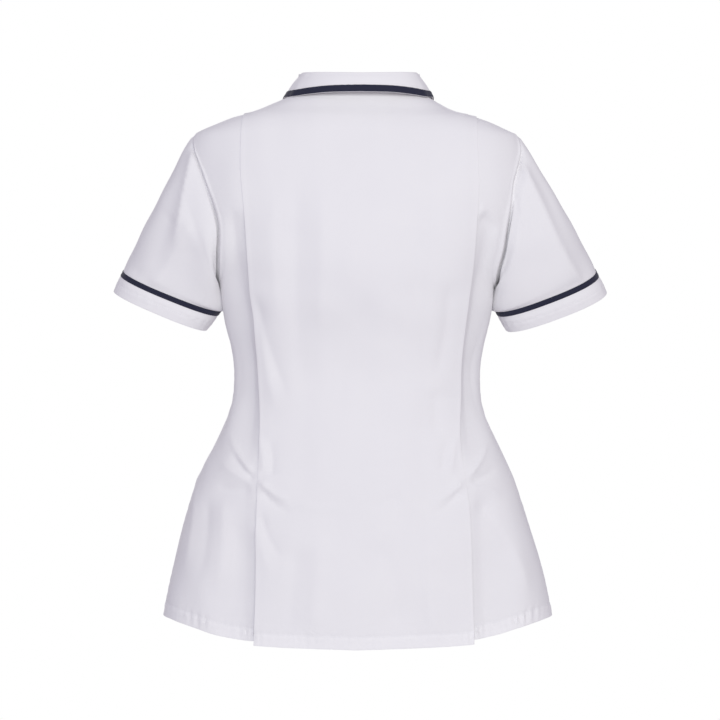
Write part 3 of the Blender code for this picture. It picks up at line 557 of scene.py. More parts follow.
@dataclass(frozen=True)
class Cut:
    """Where the panels of one side are cut on the form, and how finely they are worked out."""

    form: Form
    armholes: Table
    neck_half: float = 76.0
    nape: Pair = (2.0, 2.0)
    throat: Pair = (62.0, 1.6)
    shoulder_drop: float = 53.5
    underarm_drop: float = 245.0
    underarm_sag: float = 30.0
    hem_drop: float = 693.5
    hem_zone: float = 22.0
    hem_band: float = 15.0
    rows_above: int = 64
    shoulder_rows: tuple[float, ...] = (0.004, 0.009)
    rows_below: int = 96
    tack_level: float = 0.53
    tack_zone: float = 0.14
    tack_crowd: float = 1.6
    hem_rows: int = 12
    neck_steps_back: int = 34
    neck_steps_front: int = 44
    neck_rows: int = 14
    samples: int = 801
    hem: Table = Table(
        "across rise",
        "0 0, 0.2 2.4, 0.35 5, 0.45 11.5, 0.55 21, 0.65 27.7, 0.77 31.7, 1 33",
    )

    @property
    def levels(self) -> Array:
        """The rows above the underarm: 0 is the shoulder seam and 1 the underarm."""
        even = np.arange(1, self.rows_above + 1) / self.rows_above
        return np.concatenate([[0.0], self.shoulder_rows, even])

    @property
    def underarm_row(self) -> int:
        """The number of the row through the underarms."""
        return len(self.levels) - 1

    def neck_steps(self, face: Face) -> int:
        """The columns along half the neckline."""
        return self.neck_steps_back if face.behind else self.neck_steps_front

    def neckline(self, way: Array, face: Face) -> Array:
        """Half the neckline, whose drop follows a power of the cosine.

        Args:
            way: 0 is the centre and 1 the side of the neck.
            face: the back or the front.

        Returns:
            Points on the form.
        """
        turn = np.radians(90 * way)
        low, bend = self.nape if face.behind else self.throat
        return self.form.at(self.neck_half * np.sin(turn), low * np.abs(np.cos(turn)) ** bend, face)

    def armhole(self, way: Array, face: Face) -> Array:
        """Half an armhole on the wearer's left, as deep as a reach from the table times a sine.

        Args:
            way: 0 is the shoulder's tip and 1 the underarm.
            face: the back or the front.

        Returns:
            Points on the form.
        """
        fall = self.underarm_drop - self.shoulder_drop
        height = -self.shoulder_drop - fall * (1 - np.cos(np.pi * way)) / 2
        reach = self.armholes.read("back_reach" if face.behind else "front_reach", way)
        depth = np.abs(reach * np.sin(np.pi * way))
        wide, deep, square = self.form.sizes(height, face.behind)
        x = wide * (1 - (depth / deep) ** square) ** (1 / square)
        return np.stack([x, face.value * depth, height], -1)

    def as_angle(self, points: Array, face: Face) -> Array:
        """Points of the form as pairs of angle and height."""
        return np.stack([self.form.angle(points, face), points[..., 2]], -1)

    def neck_share(self, face: Face) -> float:
        """The neckline's share of the top edge.

        Args:
            face: the back or the front.

        Returns:
            Its length over that of half the neckline and the shoulder seam.
        """
        neck = self.neckline(np.linspace(0, 1, 400), face)
        tip = self.armhole(np.zeros(1), face)[0]
        first = float(np.linalg.norm(np.diff(neck, axis=0), axis=1).sum())
        return first / (first + float(np.linalg.norm(tip - neck[-1])))

    def top_edge(self, across: Array, face: Face) -> Array:
        """The neckline and then the shoulder seam.

        Args:
            across: 0 is the centre and 1 the shoulder's tip.
            face: the back or the front.

        Returns:
            Angle and height for each place.
        """
        share = self.neck_share(face)
        neck = self.as_angle(self.neckline(np.clip(across / share, 0, 1), face), face)
        drop = self.shoulder_drop * np.clip((across - share) / (1 - share), 0, 1)
        shoulder = np.stack([np.full_like(drop, 90.0), -drop], -1)
        return np.where((across <= share)[:, None], neck, shoulder)

    def underarm_edge(self, across: Array, face: Face) -> Array:
        """The row through the underarm, from the centre to the side seam, as angle and height."""
        angle = 90 * across if face.behind else 180 - 90 * across
        return np.stack([angle, -self.underarm_drop - self.underarm_sag * (1 - across)], -1)

    def upper_rows(self, across: Array, face: Face) -> Array:
        """The rows above the underarm.

        Each point is blended from the edges around it: the two along its row, plus the two down its
        column, less the corners.

        Args:
            across: 0 is the centre and 1 the side.
            face: the back or the front.

        Returns:
            Angle and height for each row and place.
        """
        down = self.levels[:, None, None]
        top, bottom = self.top_edge(across, face), self.underarm_edge(across, face)
        side = self.as_angle(self.armhole(self.levels, face), face)[:, None]
        across = across[:, None]
        starts, ends = ((1 - down) * top[k] + down * bottom[k] for k in (np.s_[:1], np.s_[-1:]))
        centre = top[:1] + (bottom[:1] - top[:1]) * down
        blend = (1 - down) * top + down * bottom + (1 - across) * centre + across * side
        return blend - (1 - across) * starts - across * ends

    def lower_rows(self, across: Array, face: Face) -> Array:
        """The rows below the underarm, closer together round the tacks, then level with the hem.

        Args:
            across: 0 is the centre and 1 the side.
            face: the back or the front.

        Returns:
            Angle and height for each row and place.
        """
        top = self.underarm_edge(across, face)
        hem = -self.hem_drop + self.hem.read("rise", across)
        even = np.linspace(0, 1, self.samples)
        crowd = 1 + self.tack_crowd * bell(even - self.tack_level, self.tack_zone)
        filled = np.cumsum(crowd) - crowd[0]
        steps = np.arange(1, self.rows_below + 1) / self.rows_below
        down = np.interp(steps, filled / filled[-1], even)[:, None]
        upper = top[:, 1] + (hem + self.hem_zone - top[:, 1]) * down
        rise = self.hem_zone * (1 - np.arange(1, self.hem_rows + 1) / self.hem_rows)[:, None]
        heights = np.concatenate([upper, hem + rise])
        return np.stack([np.broadcast_to(top[:, 0], heights.shape), heights], -1)

    def rows(self, face: Face) -> Rows:
        """All rows of half a panel.

        Args:
            face: the back or the front.

        Returns:
            The rows.
        """
        across = np.linspace(0, 1, self.samples)
        pairs = np.concatenate([self.upper_rows(across, face), self.lower_rows(across, face)])
        return Rows(across, self.form.point(pairs[..., 0], pairs[..., 1]))

    def columns(self, rows: Rows, face: Face, width: Array, even: Array) -> tuple[Array, Array]:
        """How far across a panel each column lies: near the neck as along the neckline, lower down even.

        Args:
            rows: the panel's rows.
            face: the back or the front.
            width: the width of each row.
            even: the columns' shares of it far below the neck.

        Returns:
            Their shares in each row, and how fully the row keeps the neck's spacing.
        """
        known = np.linspace(0, self.neck_share(face), self.neck_steps(face) + 1)
        neck = np.interp(known, rows.across, rows.along[0]) / width[0]
        beyond = np.linspace(neck[-1], 1, len(even) - len(neck) + 1)[1:]
        kept = 1 - ease(np.arange(len(width)), 0, self.neck_rows)[:, None]
        return even + (np.concatenate([neck, beyond]) - even) * kept, kept


def bisector(before: Array, here: Array, after: Array) -> tuple[Array, Array]:
    """The way halfway round a corner, and the stretch that keeps a wall's thickness there."""
    both = unit(here - before) + unit(after - here)
    return unit(both), 2 / np.maximum(np.linalg.norm(both, axis=-1, keepdims=True), 0.9)


def wall_directions(grid: Array, closed: bool = False) -> Array:
    """The ways through a wall, across its rows and columns.

    Args:
        grid: points of the wall's middle.
        closed: whether the last column meets the first one.

    Returns:
        A way for each point, stretched where the wall turns a corner.
    """
    ends = (grid[:, -1:], grid[:, :1])
    if not closed:
        ends = (2 * grid[:, :1] - grid[:, 1:2], 2 * grid[:, -1:] - grid[:, -2:-1])
    wide = np.concatenate([ends[0], grid, ends[1]], axis=1)
    wide = np.concatenate([2 * wide[:1] - wide[1:2], wide, 2 * wide[-1:] - wide[-2:-1]])
    along, stretch_along = bisector(wide[1:-1, :-2], wide[1:-1, 1:-1], wide[1:-1, 2:])
    down, stretch_down = bisector(wide[:-2, 1:-1], wide[1:-1, 1:-1], wide[2:, 1:-1])
    return unit(np.cross(along, down)) * stretch_along * stretch_down


def mirrored(grid: Array) -> Array:
    """The grid seen in the coat's middle plane, with its columns in reverse order."""
    return (grid * (-1, 1, 1))[:, ::-1]


def joined(right: Array, left: Array) -> Array:
    """Two grids side by side that share the column where they meet."""
    return np.concatenate([right[:, :-1], left], axis=1)


@dataclass
class Sheet:
    """A surface of rows and columns of points, with the ways through its wall, as it is cut.

    Its masks give a value for each point: how thick the wall is, how much stitches draw it up, and
    whether it is a doubled band, which is paler; on the back the same mask also paints a highlight
    along each pleat's fold edge. Round names the edges that are folded over: top, bottom, start and
    end. The cloth's threads run along u and v, in millimetres of flat cloth.
    """

    points: Array
    through: Array
    closed: bool = False
    masks: dict[str, Array] = field(default_factory=dict)
    round: tuple[str, ...] = ()

    def flipped(self) -> "Sheet":
        """Mirrors the sheet.

        Returns:
            The same sheet on the wearer's other side.
        """
        swap = {"start": "end", "end": "start"}
        masks = {name: mask[:, ::-1] for name, mask in self.masks.items()}
        edges = tuple(swap.get(edge, edge) for edge in self.round)
        return Sheet(mirrored(self.points), mirrored(self.through), self.closed, masks, edges)

    def part(self, rows: slice, edges: tuple[str, ...] = ()) -> "Sheet":
        """Some of the sheet's rows, with the edges that are folded over there."""
        masks = {name: mask[rows] for name, mask in self.masks.items()}
        return Sheet(self.points[rows], self.through[rows], self.closed, masks, edges)

    def moved(self, distance: float, thick: float) -> "Sheet":
        """Lays another sheet on this one.

        Args:
            distance: from the middle of this one.
            thick: the other one's thickness.

        Returns:
            The other sheet.
        """
        masks = {**self.masks, "thick": np.full_like(self.masks["thick"], thick)}
        points = self.points + self.through * distance
        return Sheet(points, self.through, self.closed, masks, self.round)

    def ring(self, values: Array) -> Array:
        """Values for each column, and on a tube the first column's again at the end."""
        return np.concatenate([values, values[:, :1]], axis=1) if self.closed else values

    def outer(self) -> tuple[Array, Array]:
        """The points of the wall's outer face and the ways out of it."""
        outer = self.points + self.through * self.masks["thick"][..., None] / 2
        return self.ring(outer), self.ring(self.through)

    def flat(self) -> tuple[Pair, float]:
        """The flat cloth that the sheet takes.

        Returns:
            Its greatest width and length in metres, and its area in square metres.
        """
        points = self.ring(self.points)
        width = float(row_lengths(points)[:, -1].max()) * MM
        length = float(down_lengths(points)[-1].max()) * MM
        one, two = points[1:, 1:] - points[:-1, :-1], points[1:, :-1] - points[:-1, 1:]
        area = float(np.linalg.norm(np.cross(one, two), axis=2).sum()) / 2 * MM * MM
        return (width, length), min(area, width * length)

    def cloth(self) -> Array:
        """Lays the sheet flat.

        Returns:
            Each point's place on the cloth: along its row, and down from the top.
        """
        points = self.ring(self.points)
        along = row_lengths(points)
        along -= along[:, along.shape[1] // 2][:, None]
        return np.stack([along, -down_lengths(points)], -1)

    def rims(self) -> Array:
        """Works out how the folded edges bulge.

        Returns:
            A way for each point, or nothing inside and at seams.
        """
        edges = {
            "top": (np.s_[0], np.s_[1]),
            "bottom": (np.s_[-1], np.s_[-2]),
            "start": (np.s_[:, 0], np.s_[:, 1]),
            "end": (np.s_[:, -1], np.s_[:, -2]),
        }
        ways = np.zeros_like(self.points)
        for edge in self.round:
            rim, inside = edges[edge]
            ways[rim] += unit(self.points[rim] - self.points[inside])
        return unit(ways)


class Shell:
    """A thin closed shell of cloth around a sheet, with its edges rounded where they are folded."""

    rim_turns = (0.25, 0.5, 0.75)

    def __init__(self, form: Form, sheet: Sheet) -> None:
        """Works out the shell's points and faces.

        Its outer and inner surfaces lie half the thickness from the sheet, joined by a half circle of
        points round each folded edge, or a straight line at a seam. The faces' corners are numbered
        apart from the points, because a tube's first column is also its last one.

        Args:
            form: the coat's form, which sways.
            sheet: the surface.
        """
        grid, through, ways = (a.reshape(-1, 3) for a in (sheet.points, sheet.through, sheet.rims()))
        half = sheet.masks["thick"].reshape(-1, 1) / 2
        count = len(grid)
        number = sheet.ring(np.arange(count).reshape(sheet.points.shape[:2]))
        corner = np.arange(number.size).reshape(number.shape)
        number = number.ravel()
        cloth = sheet.cloth().reshape(-1, 2)
        points = [grid + through * half, grid - through * half]
        faces = [quads(corner), quads(corner)[:, ::-1] + corner.size]
        real, flat, source = [number, number + count], [cloth, cloth], [np.arange(count)] * 2
        total, shown = 2 * count, 2 * corner.size
        for loop in self._loops(sheet, corner):
            edge, kept = number[loop], len(loop) - 1
            bands = [loop]
            for turn in self.rim_turns:
                out = through[edge] * math.cos(math.pi * turn) + ways[edge] * math.sin(math.pi * turn)
                points.append((grid[edge] + out * half[edge])[:kept])
                real.append(total + np.arange(len(loop)) % kept)
                bands.append(shown + np.arange(len(loop)))
                flat.append(cloth[loop])
                source.append(edge[:kept])
                total += kept
                shown += len(loop)
            bands.append(loop + corner.size)
            faces += [quads(np.stack([lower, upper])) for upper, lower in zip(bands, bands[1:])]
        self.points = form.swayed(np.concatenate(points))
        self.source = np.concatenate(source)
        faces = np.concatenate(faces)
        self.faces = np.concatenate(real)[faces]
        ends = self.points[self.faces]
        one, two = ends[:, 2] - ends[:, 0], ends[:, 3] - ends[:, 1]
        if (ends.mean(axis=1) * np.cross(one, two)).sum() < 0:
            faces, self.faces = faces[:, ::-1], self.faces[:, ::-1]
        self.flat = np.concatenate(flat)[faces.ravel()]

    @staticmethod
    def _loops(sheet: Sheet, corner: Array) -> list[Array]:
        """The loops of edge points that the rims follow.

        Args:
            sheet: the surface.
            corner: the numbers of its points.

        Returns:
            Each loop's numbers, with the first one again at the end.
        """
        if sheet.closed:
            return [corner[0], corner[-1][::-1]]
        around = (corner[0, :-1], corner[:-1, -1], corner[-1, :0:-1], corner[::-1, 0])
        return [np.concatenate(around)]


@dataclass(frozen=True)
class Stitch:
    """A sewing thread's stitches, each a short bent rod whose ends sink into the cloth."""

    pitch: float = 2.7
    length: float = 2.05
    radius: float = 0.2
    rings: int = 5
    sides: int = 6
    rise: float = 0.75
    sink: float = 1.5
    taper: float = 0.9

    def row(self, path: Array, outward: Array) -> tuple[Array, list[list[int]]]:
        """A row of stitches along a path.

        A point is its place on the path, a lift that falls off with the square of the distance from
        the stitch's middle, and a circle that narrows towards both ends.

        Args:
            path: points on the cloth.
            outward: the ways out of it there.

        Returns:
            The points, and point numbers for each face.
        """
        steps = np.linalg.norm(np.diff(path, axis=0), axis=1)
        known = np.concatenate([[0], np.cumsum(steps)])
        count = max(1, int(known[-1] // self.pitch))
        place = np.linspace(-1, 1, self.rings)
        middles = (np.arange(count) + 0.5) * known[-1] / count
        at = middles[:, None] + place * self.length / 2
        centre, up = read_path(at, known, path), unit(read_path(at, known, outward))
        side = unit(np.cross(centre[:, -1:] - centre[:, :1], up))
        lift = self.radius * (self.rise - self.sink * place**2)[:, None]
        narrow = self.radius * np.sqrt(1 - (self.taper * place) ** 2)
        turn = circle(self.sides)[:, None]
        ring = side[:, :, None] * np.cos(turn) + up[:, :, None] * np.sin(turn)
        points = (centre + up * lift)[:, :, None] + ring * narrow[:, None, None]
        number = np.arange(points.size // 3).reshape(count, self.rings, self.sides)
        caps = np.concatenate([number[:, 0, ::-1], number[:, -1]])
        return points.reshape(-1, 3), ring_quads(number).tolist() + caps.tolist()


def creases(form: Form, face: Face, table: Table, points: Array) -> Array:
    """The relief of creases on a panel.

    A crease follows a bowed line. Its height goes evenly from one end's to the other's, and tapers
    out at both.

    Args:
        form: the coat's form.
        face: the back or the front.
        table: a row for each, as in FOLD_COLUMNS.
        points: points of the form.

    Returns:
        How far each point is raised.
    """
    rise = np.zeros(points.shape[:-1])
    share = np.linspace(0, 1, 9)
    for row in table:
        start = np.array([row["x_start"], row["drop_start"]])
        span = np.array([row["x_end"], row["drop_end"]]) - start
        square_to = unit(np.array([span[1], -span[0]]))
        line = start + span * share[:, None]
        line = line + square_to * (row["bow"] * 4 * share * (1 - share))[:, None]
        path = form.at(line[:, 0], line[:, 1], face)
        nearest = np.full(rise.shape, np.inf)
        along = np.zeros(rise.shape)
        for k in range(len(path) - 1):
            step = path[k + 1] - path[k]
            part = np.clip(((points - path[k]) @ step) / (step @ step), 0, 1)
            distance = np.linalg.norm(points - path[k] - part[..., None] * step, axis=-1)
            closer = distance < nearest
            nearest = np.where(closer, distance, nearest)
            along = np.where(closer, (k + part) / (len(path) - 1), along)
        height = row["rise_start"] + (row["rise_end"] - row["rise_start"]) * along
        taper = ease(along, 0, 0.22) * (1 - ease(along, 0.7, 1))
        rise += height * taper * crease_height(nearest, row["keen"], row["width"])
    return rise


@dataclass(frozen=True)
class Seams:
    """How the panels are set at the seams they share, worked out on the wearer's left.

    The sleeve leaves the armhole in four given ways: on top, behind, under the arm and in front.
    """

    cut: Cut
    neck_half_depth: float = 55.0
    stand: Table = Table(
        "way rise lean",
        "0 19.7 4, 0.6 21 0, 1 22.4 -3.8, 1.5 19 1.5, 2 12 6",
    )
    sleeve_ways: tuple[Triple, ...] = (
        (87.0, 0.0, -113.0),
        (75.0, 5.0, -80.0),
        (36.0, 0.0, -14.0),
        (75.0, -25.0, -75.0),
    )

    def stand_step(self, way: Array) -> tuple[Array, Array, Array]:
        """The collar's stand.

        Args:
            way: 0 is the centre back, 1 the side of the neck and 2 the centre front.

        Returns:
            The neckline's points, the ways out from them, and the steps from them to the fold line.
        """
        back = self.cut.neckline(np.clip(way, 0, 1), Face.BACK)
        front = self.cut.neckline(np.clip(2 - way, 0, 1), Face.FRONT)
        base = np.where((way <= 1)[:, None], back, front)
        x, y = base[:, 0] / self.cut.neck_half**2, base[:, 1] / self.neck_half_depth**2
        outward = unit(np.stack([x, y, 0 * way], -1))
        step = outward * self.stand.read("lean", way)[:, None]
        step[:, 2] += self.stand.read("rise", way)
        return base, outward, step

    def neck(self, face: Face) -> Array:
        """The way through the wall along half the neck seam, shared by the coat and the collar.

        Args:
            face: the back or the front.

        Returns:
            A way for each column, from the centre to the side.
        """
        way = np.linspace(0, 1, self.cut.neck_steps(face) + 1)
        here = self.cut.neckline(way, face)
        before, after = (self.cut.neckline(np.clip(way + near, 0, 1), face) for near in (-0.01, 0.01))
        tangent = unit(after - before)
        tangent[0] = ACROSS
        tangent[-1] = (0.0, -face.value, 0.0)
        stand = unit(self.stand_step(way if face.behind else 2 - way)[2])
        coat = self.cut.form.normal(here)
        collar = unit(np.cross(tangent, stand))
        collar *= np.sign((collar * coat).sum(-1, keepdims=True))
        return self._mitre(coat, collar)

    @staticmethod
    def _mitre(coat: Array, other: Array) -> Array:
        """The way through two walls that meet, long enough to keep their thickness."""
        both = unit(coat + other)
        return both / np.maximum((both * coat).sum(-1, keepdims=True), 0.5)

    def arm_ways(self) -> tuple[Array, Array]:
        """The columns round an armhole: from the shoulder's tip, behind, underarm, in front.

        Returns:
            How far down the armhole each one lies, 0 to 1, and whether it is behind.
        """
        levels = self.cut.levels
        way = np.concatenate([levels, levels[-2:0:-1]])
        return way, np.arange(len(way)) < len(levels)

    def arm_points(self) -> Array:
        """Goes round the armhole.

        Returns:
            A point for each column.
        """
        way, behind = self.arm_ways()
        back, front = self.cut.armhole(way, Face.BACK), self.cut.armhole(way, Face.FRONT)
        return np.where(behind[:, None], back, front)

    def sleeve_start(self) -> Array:
        """How the sleeve leaves the armhole: the first harmonics of its four given ways.

        Returns:
            A way for each column.
        """
        way, behind = self.arm_ways()
        turn = np.pi * way * np.where(behind, 1, -1)
        top, back, under, front = np.array(self.sleeve_ways)
        return (
            (top + back + under + front) / 4
            + np.outer(np.cos(turn), top - under) / 2
            + np.outer(np.sin(turn), back - front) / 2
            + np.outer(np.cos(2 * turn), top - back + under - front) / 4
        )

    def arm(self) -> Array:
        """The way through the wall round the armhole, shared by the coat and the sleeve.

        Returns:
            A way for each column.
        """
        here = self.arm_points()
        tangent = unit(np.roll(here, -1, 0) - np.roll(here, 1, 0))
        coat = self.cut.form.normal(here)
        sleeve = unit(np.cross(tangent, self.sleeve_start()))
        sleeve *= np.sign((sleeve[0] * coat[0]).sum())
        return self._mitre(coat, sleeve)

    def set_panel(self, sheet: Sheet, face: Face, neck_columns: Array) -> None:
        """Sets half a panel's wall at its neckline, shoulder, armhole and side seam.

        Args:
            sheet: the half panel, from its centre to its side.
            face: the back or the front.
            neck_columns: its columns along the neckline.
        """
        through, points = sheet.through, sheet.points
        row, arm = self.cut.underarm_row, self.arm()
        order = np.arange(row + 1)
        shoulder = slice(neck_columns[-1], None)
        square_to = unit(np.cross(np.gradient(points[0], axis=0), (0.0, float(face.value), 0.0)))
        square_to *= np.sign(square_to[:, 2:])
        through[0, shoulder] = square_to[shoulder]
        through[: row + 1, -1] = arm[order if face.behind else -order % len(arm)]
        through[row + 1 :, -1] = self.cut.form.normal(points[row + 1 :, -1])
        through[0, neck_columns] = self.neck(face)


@dataclass(frozen=True)
class Edging:
    """The relief along a panel's sewn edges, on which all panels agree."""

    cut: Cut
    fade: float = 12.0
    ridge: float = 1.2
    ridge_place: float = 4.0
    ridge_width: float = 2.6
    seam_depth: float = 0.3
    seam_width: float = 1.6
    stitch_depth: float = 0.4
    stitch_width: float = 1.8
    drawn: Pair = (0.35, 1.25)
    drawn_from: Pair = (100, 160)
    pucker_pitch: float = 8.0
    wave: Triple = (0.5, 34.0, 16.0)
    run: Triple = (0.35, 15.0, 11.0)

    def free(self, down: Array, to_side: Array) -> Array:
        """How freely a panel's cloth lies, from 0 at its top and side seams to 1 away from them."""
        return ease(to_side, 1, self.fade) * ease(down, 1, self.fade)

    def relief(self, base: Array, down: Array, to_side: Array, x: Array) -> tuple[Array, Array]:
        """How the edges rise and sink.

        There is a low ridge beside the armhole, the shoulder and side seams are sunken, and the hem is
        doubled, with a sunken row of stitches and puckers, more of them at the sides.

        Args:
            base: the panel's points on the form.
            down, to_side: their distances from the top edge and the side.
            x: their places across the coat, with their signs.

        Returns:
            How far each point is raised, and whether it lies in the hem.
        """
        level = np.arange(len(base))[:, None] / self.cut.underarm_row
        rise = self.ridge * bell(to_side - self.ridge_place, self.ridge_width)
        rise = rise * ease(level, 0.08, 0.3) * (1 - ease(level, 0.85, 1.0))
        rise = rise - self.seam_depth * bell(down, self.seam_width)
        rise = rise - self.seam_depth * bell(to_side, self.seam_width) * ease(level, 1.0, 1.06)
        above_hem = np.clip(base[..., 2] - base[-1, :, 2], 0, None)
        above_line = above_hem - self.cut.hem_band
        rise = rise - self.stitch_depth * bell(above_line, self.stitch_width)
        drawn = self.drawn[0] + self.drawn[1] * ease(np.abs(x), *self.drawn_from)
        rise = rise + puckers(x, self.pucker_pitch) * bell(above_line + 5, self.pucker_pitch) * drawn
        height, pitch, reach = self.wave
        rise = rise + height * puckers(x + 31.0, pitch, 0.3) * bell(above_hem, reach)
        height, pitch, reach = self.run
        runs = height * puckers(base[..., 2], pitch) * bell(to_side, reach)
        rise = rise + runs * ease(to_side, 0, 5) * ease(level, 1.0, 1.1)
        return rise, 1 - ease(above_line, -0.4, 1.2)

    def pucker_mask(self, down: Array, to_side: Array) -> Array:
        """Where the cloth is drawn up by sewing: 1 at the hem's stitches, less at the side seam."""
        hem = bell(down[-1] - down - self.cut.hem_band, 9.0)
        return np.clip(hem + 0.6 * bell(to_side, 14.0), 0, 1)

    def hem_row(self, sheet: Sheet) -> int:
        """The number of the row that the hem's stitches follow."""
        return len(sheet.points) - 1 - round(self.cut.hem_band / (self.cut.hem_zone / self.cut.hem_rows))


@dataclass
class Workshop:
    """What every sub-assembly needs: the form, each side's cut and seams, and the finishes."""

    form: Form
    cuts: dict[Side, Cut]
    finishes: dict[Look, Material]
    cloth: float = 0.45
    layer_gap: float = 0.12
    hem_extra: float = 0.45

    def __post_init__(self) -> None:
        """Works out the seams of each side."""
        self.seams = {side: Seams(cut) for side, cut in self.cuts.items()}

    @property
    def pitch(self) -> float:
        """From the middle of one layer of cloth to the next."""
        return self.cloth + self.layer_gap

    def piece(
        self, name: str, points: Array, faces: list[list[int]], look: Look, node: str | None = None
    ) -> Object:
        """A closed mesh that rides on the coat's body.

        Args:
            name: its name.
            points: its points in millimetres.
            faces: point numbers for each face.
            look: its finish.
            node: the node that it takes the place of, if any.

        Returns:
            The object.
        """
        mesh = bpy.data.meshes.new(name)
        mesh.from_pydata((points * MM).tolist(), [], faces)
        mesh.shade_smooth()
        mesh.set_sharp_from_angle(angle=SHARP_ANGLE)
        mesh.materials.append(self.finishes[look])
        piece = placed(name, mesh)
        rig.ride(piece, BODY)
        if node:
            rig.replaces(piece, node)
        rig.slot(piece, look.value[1])
        triangles = sum(len(polygon.vertices) - 2 for polygon in mesh.polygons)
        log.info("%s: %d points, %d triangles", name, len(points), triangles)
        return piece

    def dress(self, sheet: Sheet, name: str, node: str, look: Look = Look.CLOTH) -> Object:
        """A piece of cloth or trim, with its UV map of flat cloth and its masks.

        Args:
            sheet: its surface.
            name, node: its name, and the node that it takes the place of.
            look: its finish.

        Returns:
            The object.
        """
        shell = Shell(self.form, sheet)
        piece = self.piece(name, shell.points, shell.faces.tolist(), look, node)
        layer = piece.data.uv_layers.new(name="cloth")
        layer.data.foreach_set("uv", (shell.flat * MM).ravel())
        for word in ("pucker", "doubled"):
            values = sheet.masks[word].ravel()[shell.source].astype(np.float32)
            piece.data.attributes.new(word, "FLOAT", "POINT").data.foreach_set("value", values)
        return piece

    def declare(
        self,
        piece: Object,
        sheet: Sheet,
        rests_on: list[str],
        with_pieces: list[Object] | None = None,
        held: str = "hung",
    ) -> None:
        """States a piece as a sheet of cloth.

        Args:
            piece, sheet: the piece and its surface.
            rests_on: the nodes that carry it.
            with_pieces: the separate pieces on it.
            held: how it is held.
        """
        flat, area = sheet.flat()
        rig.sheet(
            piece, flat=flat, held=held, rests_on=rests_on, area=area, with_pieces=with_pieces or []
        )


class Threads:
    """Rows of stitches that are joined in one piece."""

    def __init__(self) -> None:
        """Starts with no stitches."""
        self.points: list[Array] = []
        self.faces: list[list[int]] = []
        self.total = 0

    def sew(self, path: Array, outward: Array, stitch: Stitch = Stitch()) -> None:
        """Adds a row of stitches.

        Args:
            path, outward: points on the cloth, and the ways out of it there.
            stitch: the kind of stitch.
        """
        points, faces = stitch.row(path, outward)
        self.faces += [[corner + self.total for corner in face] for face in faces]
        self.points.append(points)
        self.total += len(points)

    def make(self, shop: Workshop, name: str, look: Look = Look.THREAD) -> Object:
        """The stitches as one object."""
        return shop.piece(name, shop.form.swayed(np.concatenate(self.points)), self.faces, look)

    @staticmethod
    def along_trim(shop: Workshop, trim: Sheet, name: str) -> Object:
        """Sews two dark rows, each one row of points in from a trim's edge.

        Args:
            shop: the workshop.
            trim: the trim's surface.
            name: the stitches' name.

        Returns:
            The stitches.
        """
        threads = Threads()
        path, ways = trim.outer()
        for line in (1, -2):
            threads.sew(path[line], ways[line], Stitch(radius=0.14))
        return threads.make(shop, name, Look.DARK_THREAD)


